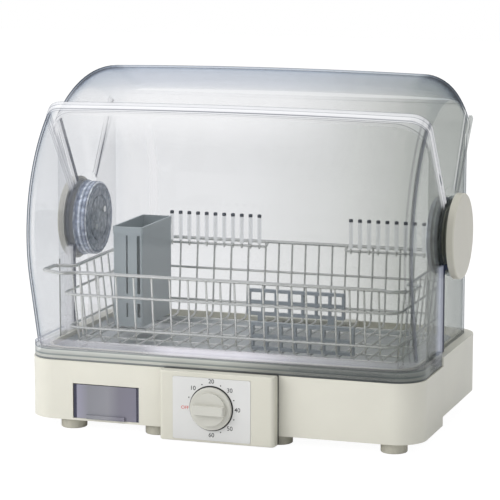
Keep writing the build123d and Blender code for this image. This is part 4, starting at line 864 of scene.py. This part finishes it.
# Painted light: the flange's bands are made lighter on the left, towards the light, and darker to the right.
flange_light_across = ramp(
    tree, along, left_side, right_side,
    (
        (left_side, (1.45, 1.45, 1.45)), (0.0, (1.7, 1.7, 1.65)), (0.10, (0.50, 0.52, 0.52)),
        (0.20, (0.38, 0.40, 0.41)), (right_side, (0.62, 0.66, 0.64)),
    ),
)
lay_over(lid_clear, product(tree, flange, at_front), toned(tree, flange_tone, flange_light_across), roughness=0.3)
lip_highlight = ramp(
    tree, up, flange_foot + 0.012, flange_high,
    (
        (flange_foot + 0.012, 0.0), (flange_foot + 0.0142, 0.0), (flange_foot + 0.0150, 0.6),
        (flange_foot + 0.0205, 0.75), (flange_foot + 0.0235, 0.6), (flange_foot + 0.0250, 0.2),
        (flange_foot + 0.0270, 0.0),
    ),
)
lip_across = ramp(
    tree, along, left_side, right_side,
    (
        (left_side, 0.25), (-0.10, 0.35), (-0.06, 1.0), (0.03, 1.0), (0.10, 0.35), (0.20, 0.15),
        (right_side, 0.1),
    ),
)
lay_over(lid_clear, product(tree, lip_highlight, lip_across, at_front), (0.88, 0.86, 0.92), roughness=0.3, shine=0.3)

# The left corner catches a streak of light, and the right corner is painted with dark lines along its bend.
sideways = normal_in(tree)[0]
streak = ramp(
    tree, edge_on(tree), 0.0, 0.5,
    ((0.0, 0.0), (0.10, 0.0), (0.17, 0.5), (0.27, 0.5), (0.36, 0.0), (0.5, 0.0)),
)
in_bend = rises(tree, sideways, 0.0, 0.20, 0.35, 1.0)
on_left = falls(tree, along, -0.25, -0.220, -0.215, -0.2)
streak_up = ramp(
    tree, up, 0.0, 0.4,
    ((0.0, 0.0), (0.13, 0.0), (0.19, 1.0), (0.27, 1.0), (0.32, 0.0), (0.4, 0.0)),
)
lay_over(lid_clear, product(tree, streak, in_bend, on_left, streak_up), glint, roughness=0.3, shine=0.9)
corner_dark_line = ramp(
    tree, sideways, 0.0, 1.0,
    (
        (0.0, 0.0), (0.60, 0.0), (0.64, 0.18), (0.68, 0.18), (0.72, 0.0), (0.86, 0.0),
        (0.885, 0.6), (0.945, 0.6), (0.96, 0.0), (1.0, 0.0),
    ),
)
on_right = rises(tree, along, 0.2, 0.215, 0.220, 0.25)
over_flange = rises(tree, up, 0.0, 0.108, 0.112, 0.4)
lay_over(lid_clear, product(tree, corner_dark_line, on_right, over_flange), (0.10, 0.11, 0.14), roughness=0.3)
dress(lid_clear, "front_lid")

# Hubs
# A moulded beige cap outside and a translucent drum inside each end wall, drawn together by two
# screws. The drum's side shows bands where its wall and flanges are seen through each other.
hub_beige = moulded_plastic("hub_beige", (0.70, 0.67, 0.575), roughness=0.36, grain=0.2)
dress(hub_beige, "hub_cap_left", "hub_cap_right")
drum_low, drum_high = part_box("hub_drum_right")
drum_face, drum_back = drum_low[0], drum_high[0]
drum_solid = 0.62
drum_rim = (0.85, 0.87, 0.90)
drum_clear = clear_plastic(
    "drum_clear", ((0.0, drum_rim), (0.8, (0.72, 0.75, 0.80)), (1.0, (0.14, 0.17, 0.24))),
    gloss=0.06, strength=0.9,
)
tree = drum_clear.node_tree
reach = round_hub(tree)[0]
span = size_of(tree, place_in(tree)[0])
side_tone = ramp(
    tree, span, drum_face, drum_back,
    (
        (drum_face, (0.72, 0.75, 0.79)), (drum_face + 0.0010, (0.70, 0.73, 0.78)),
        (drum_face + 0.0016, (0.07, 0.08, 0.13)), (drum_face + 0.0030, (0.42, 0.46, 0.54)),
        (drum_face + 0.0055, (0.50, 0.54, 0.61)), (drum_face + 0.0065, (0.15, 0.18, 0.25)),
        (drum_face + 0.0085, (0.46, 0.50, 0.57)), (drum_face + 0.0100, (0.85, 0.88, 0.92)),
        (drum_face + 0.0115, (0.30, 0.34, 0.42)), (drum_back, (0.10, 0.12, 0.18)),
    ),
)
face_tone = ramp(
    tree, reach, 0.0, 0.05,
    (
        (0.0, (0.27, 0.30, 0.31)), (0.026, (0.30, 0.33, 0.35)), (0.0285, (0.19, 0.21, 0.24)),
        (0.0300, (0.33, 0.36, 0.39)), (0.0385, (0.31, 0.34, 0.37)), (0.0400, (0.48, 0.52, 0.56)),
        (0.0425, (0.22, 0.25, 0.29)), (0.0440, (0.09, 0.11, 0.16)), (0.0452, drum_rim),
        (0.05, drum_rim),
    ),
)
on_face = falls(tree, span, drum_face, drum_face + 0.0007, drum_face + 0.0009, drum_face + 0.002)
flecks = ramp(
    tree, noise_on(tree, scale=150.0, detail=3.0), 0.3, 0.7,
    ((0.3, (0.66, 0.70, 0.82)), (0.5, (1.4, 1.4, 1.4)), (0.62, (1.85, 1.85, 1.87)), (0.7, (2.4, 2.4, 2.4))),
)
pick = tree.nodes.new("ShaderNodeMixShader")
tree.links.new(on_face, pick.inputs["Fac"])
for entry, colour in ((1, side_tone), (2, face_tone)):
    solid = tree.nodes.new("ShaderNodeBsdfPrincipled")
    solid.inputs["Roughness"].default_value = 0.2
    tree.links.new(toned(tree, colour, flecks), solid.inputs["Base Color"])
    tree.links.new(solid.outputs["BSDF"], pick.inputs[entry])
output = tree.nodes["Material Output"]
whole = tree.nodes.new("ShaderNodeMixShader")
whole.inputs["Fac"].default_value = drum_solid
tree.links.new(output.inputs["Surface"].links[0].from_socket, whole.inputs[1])
tree.links.new(pick.outputs["Shader"], whole.inputs[2])
tree.links.new(whole.outputs["Shader"], output.inputs["Surface"])
dress(drum_clear, "hub_drum_left", "hub_drum_right")
bright_screw = plated_steel("bright_screw", (0.85, 0.85, 0.84), roughness=0.18)
dress(bright_screw, "hub_screws")

# Basket
# Stainless wire, bent to shape and spot welded where the wires cross, then polished bright. The
# basket stands on four small feet in the tray.


def bright_wire(name, colour, roughness):
    """Electropolished wire: bright with slight streaks along it."""
    material = bpy.data.materials.new(name)
    material.use_nodes = True
    tree = material.node_tree
    shader = tree.nodes["Principled BSDF"]
    shader.inputs["Metallic"].default_value = 1.0
    streak = noise_on(tree, scale=240.0)
    tree.links.new(two_tones(tree, streak, shade(colour, 0.86), colour), shader.inputs["Base Color"])
    tree.links.new(spread(tree, streak, roughness, roughness + 0.1), shader.inputs["Roughness"])
    return material


stainless = bright_wire("stainless_wire", (0.86, 0.86, 0.83), roughness=0.18)
wires = [name for name in nodes if name.startswith("basket_") or name.startswith("cup_pins")]
dress(stainless, *wires)

# Cup pins
# Wire pins for cups at the back of the basket. Each has a clear soft sleeve pushed over it,
# milky where it is seen edge on, and a small dark cap.
sleeve_clear = clear_plastic(
    "sleeve_clear",
    ((0.0, (0.96, 0.965, 0.97)), (0.6, (0.90, 0.91, 0.93)), (1.0, (0.55, 0.58, 0.62))),
    gloss=0.15, strength=0.6,
)
tree = sleeve_clear.node_tree
milk = ramp(tree, edge_on(tree), 0.0, 1.0, ((0.0, 0.35), (0.5, 0.35), (1.0, 0.7)))
haze_and_painted_light = ramp(
    tree, edge_on(tree), 0.0, 1.0,
    ((0.0, (0.93, 0.94, 0.95)), (0.55, (0.88, 0.89, 0.91)), (1.0, (0.36, 0.38, 0.41))),
)
# The milky layer is three quarters painted glow, which lightens the sleeves.
lay_over(sleeve_clear, milk, haze_and_painted_light, roughness=0.25, shine=0.75)
dress(sleeve_clear, "cup_sleeves_left", "cup_sleeves_right")
tip_dark = moulded_plastic("tip_dark", (0.07, 0.08, 0.10), roughness=0.5, grain=0.2)
dress(tip_dark, "cup_tips_left", "cup_tips_right")

# Cutlery box and plate stands
# Moulded in blue-grey polypropylene. The box hangs in the left end of the basket, and the two
# stands drop over its floor wires. All three lift out.
box_grey = moulded_plastic("box_grey", (0.43, 0.48, 0.495), roughness=0.4, grain=0.2)
dress(box_grey, "cutlery_box")
stand_grey = moulded_plastic("stand_grey", (0.34, 0.38, 0.42), roughness=0.4, grain=0.2)
dress(stand_grey, "plate_stand_front", "plate_stand_rear")
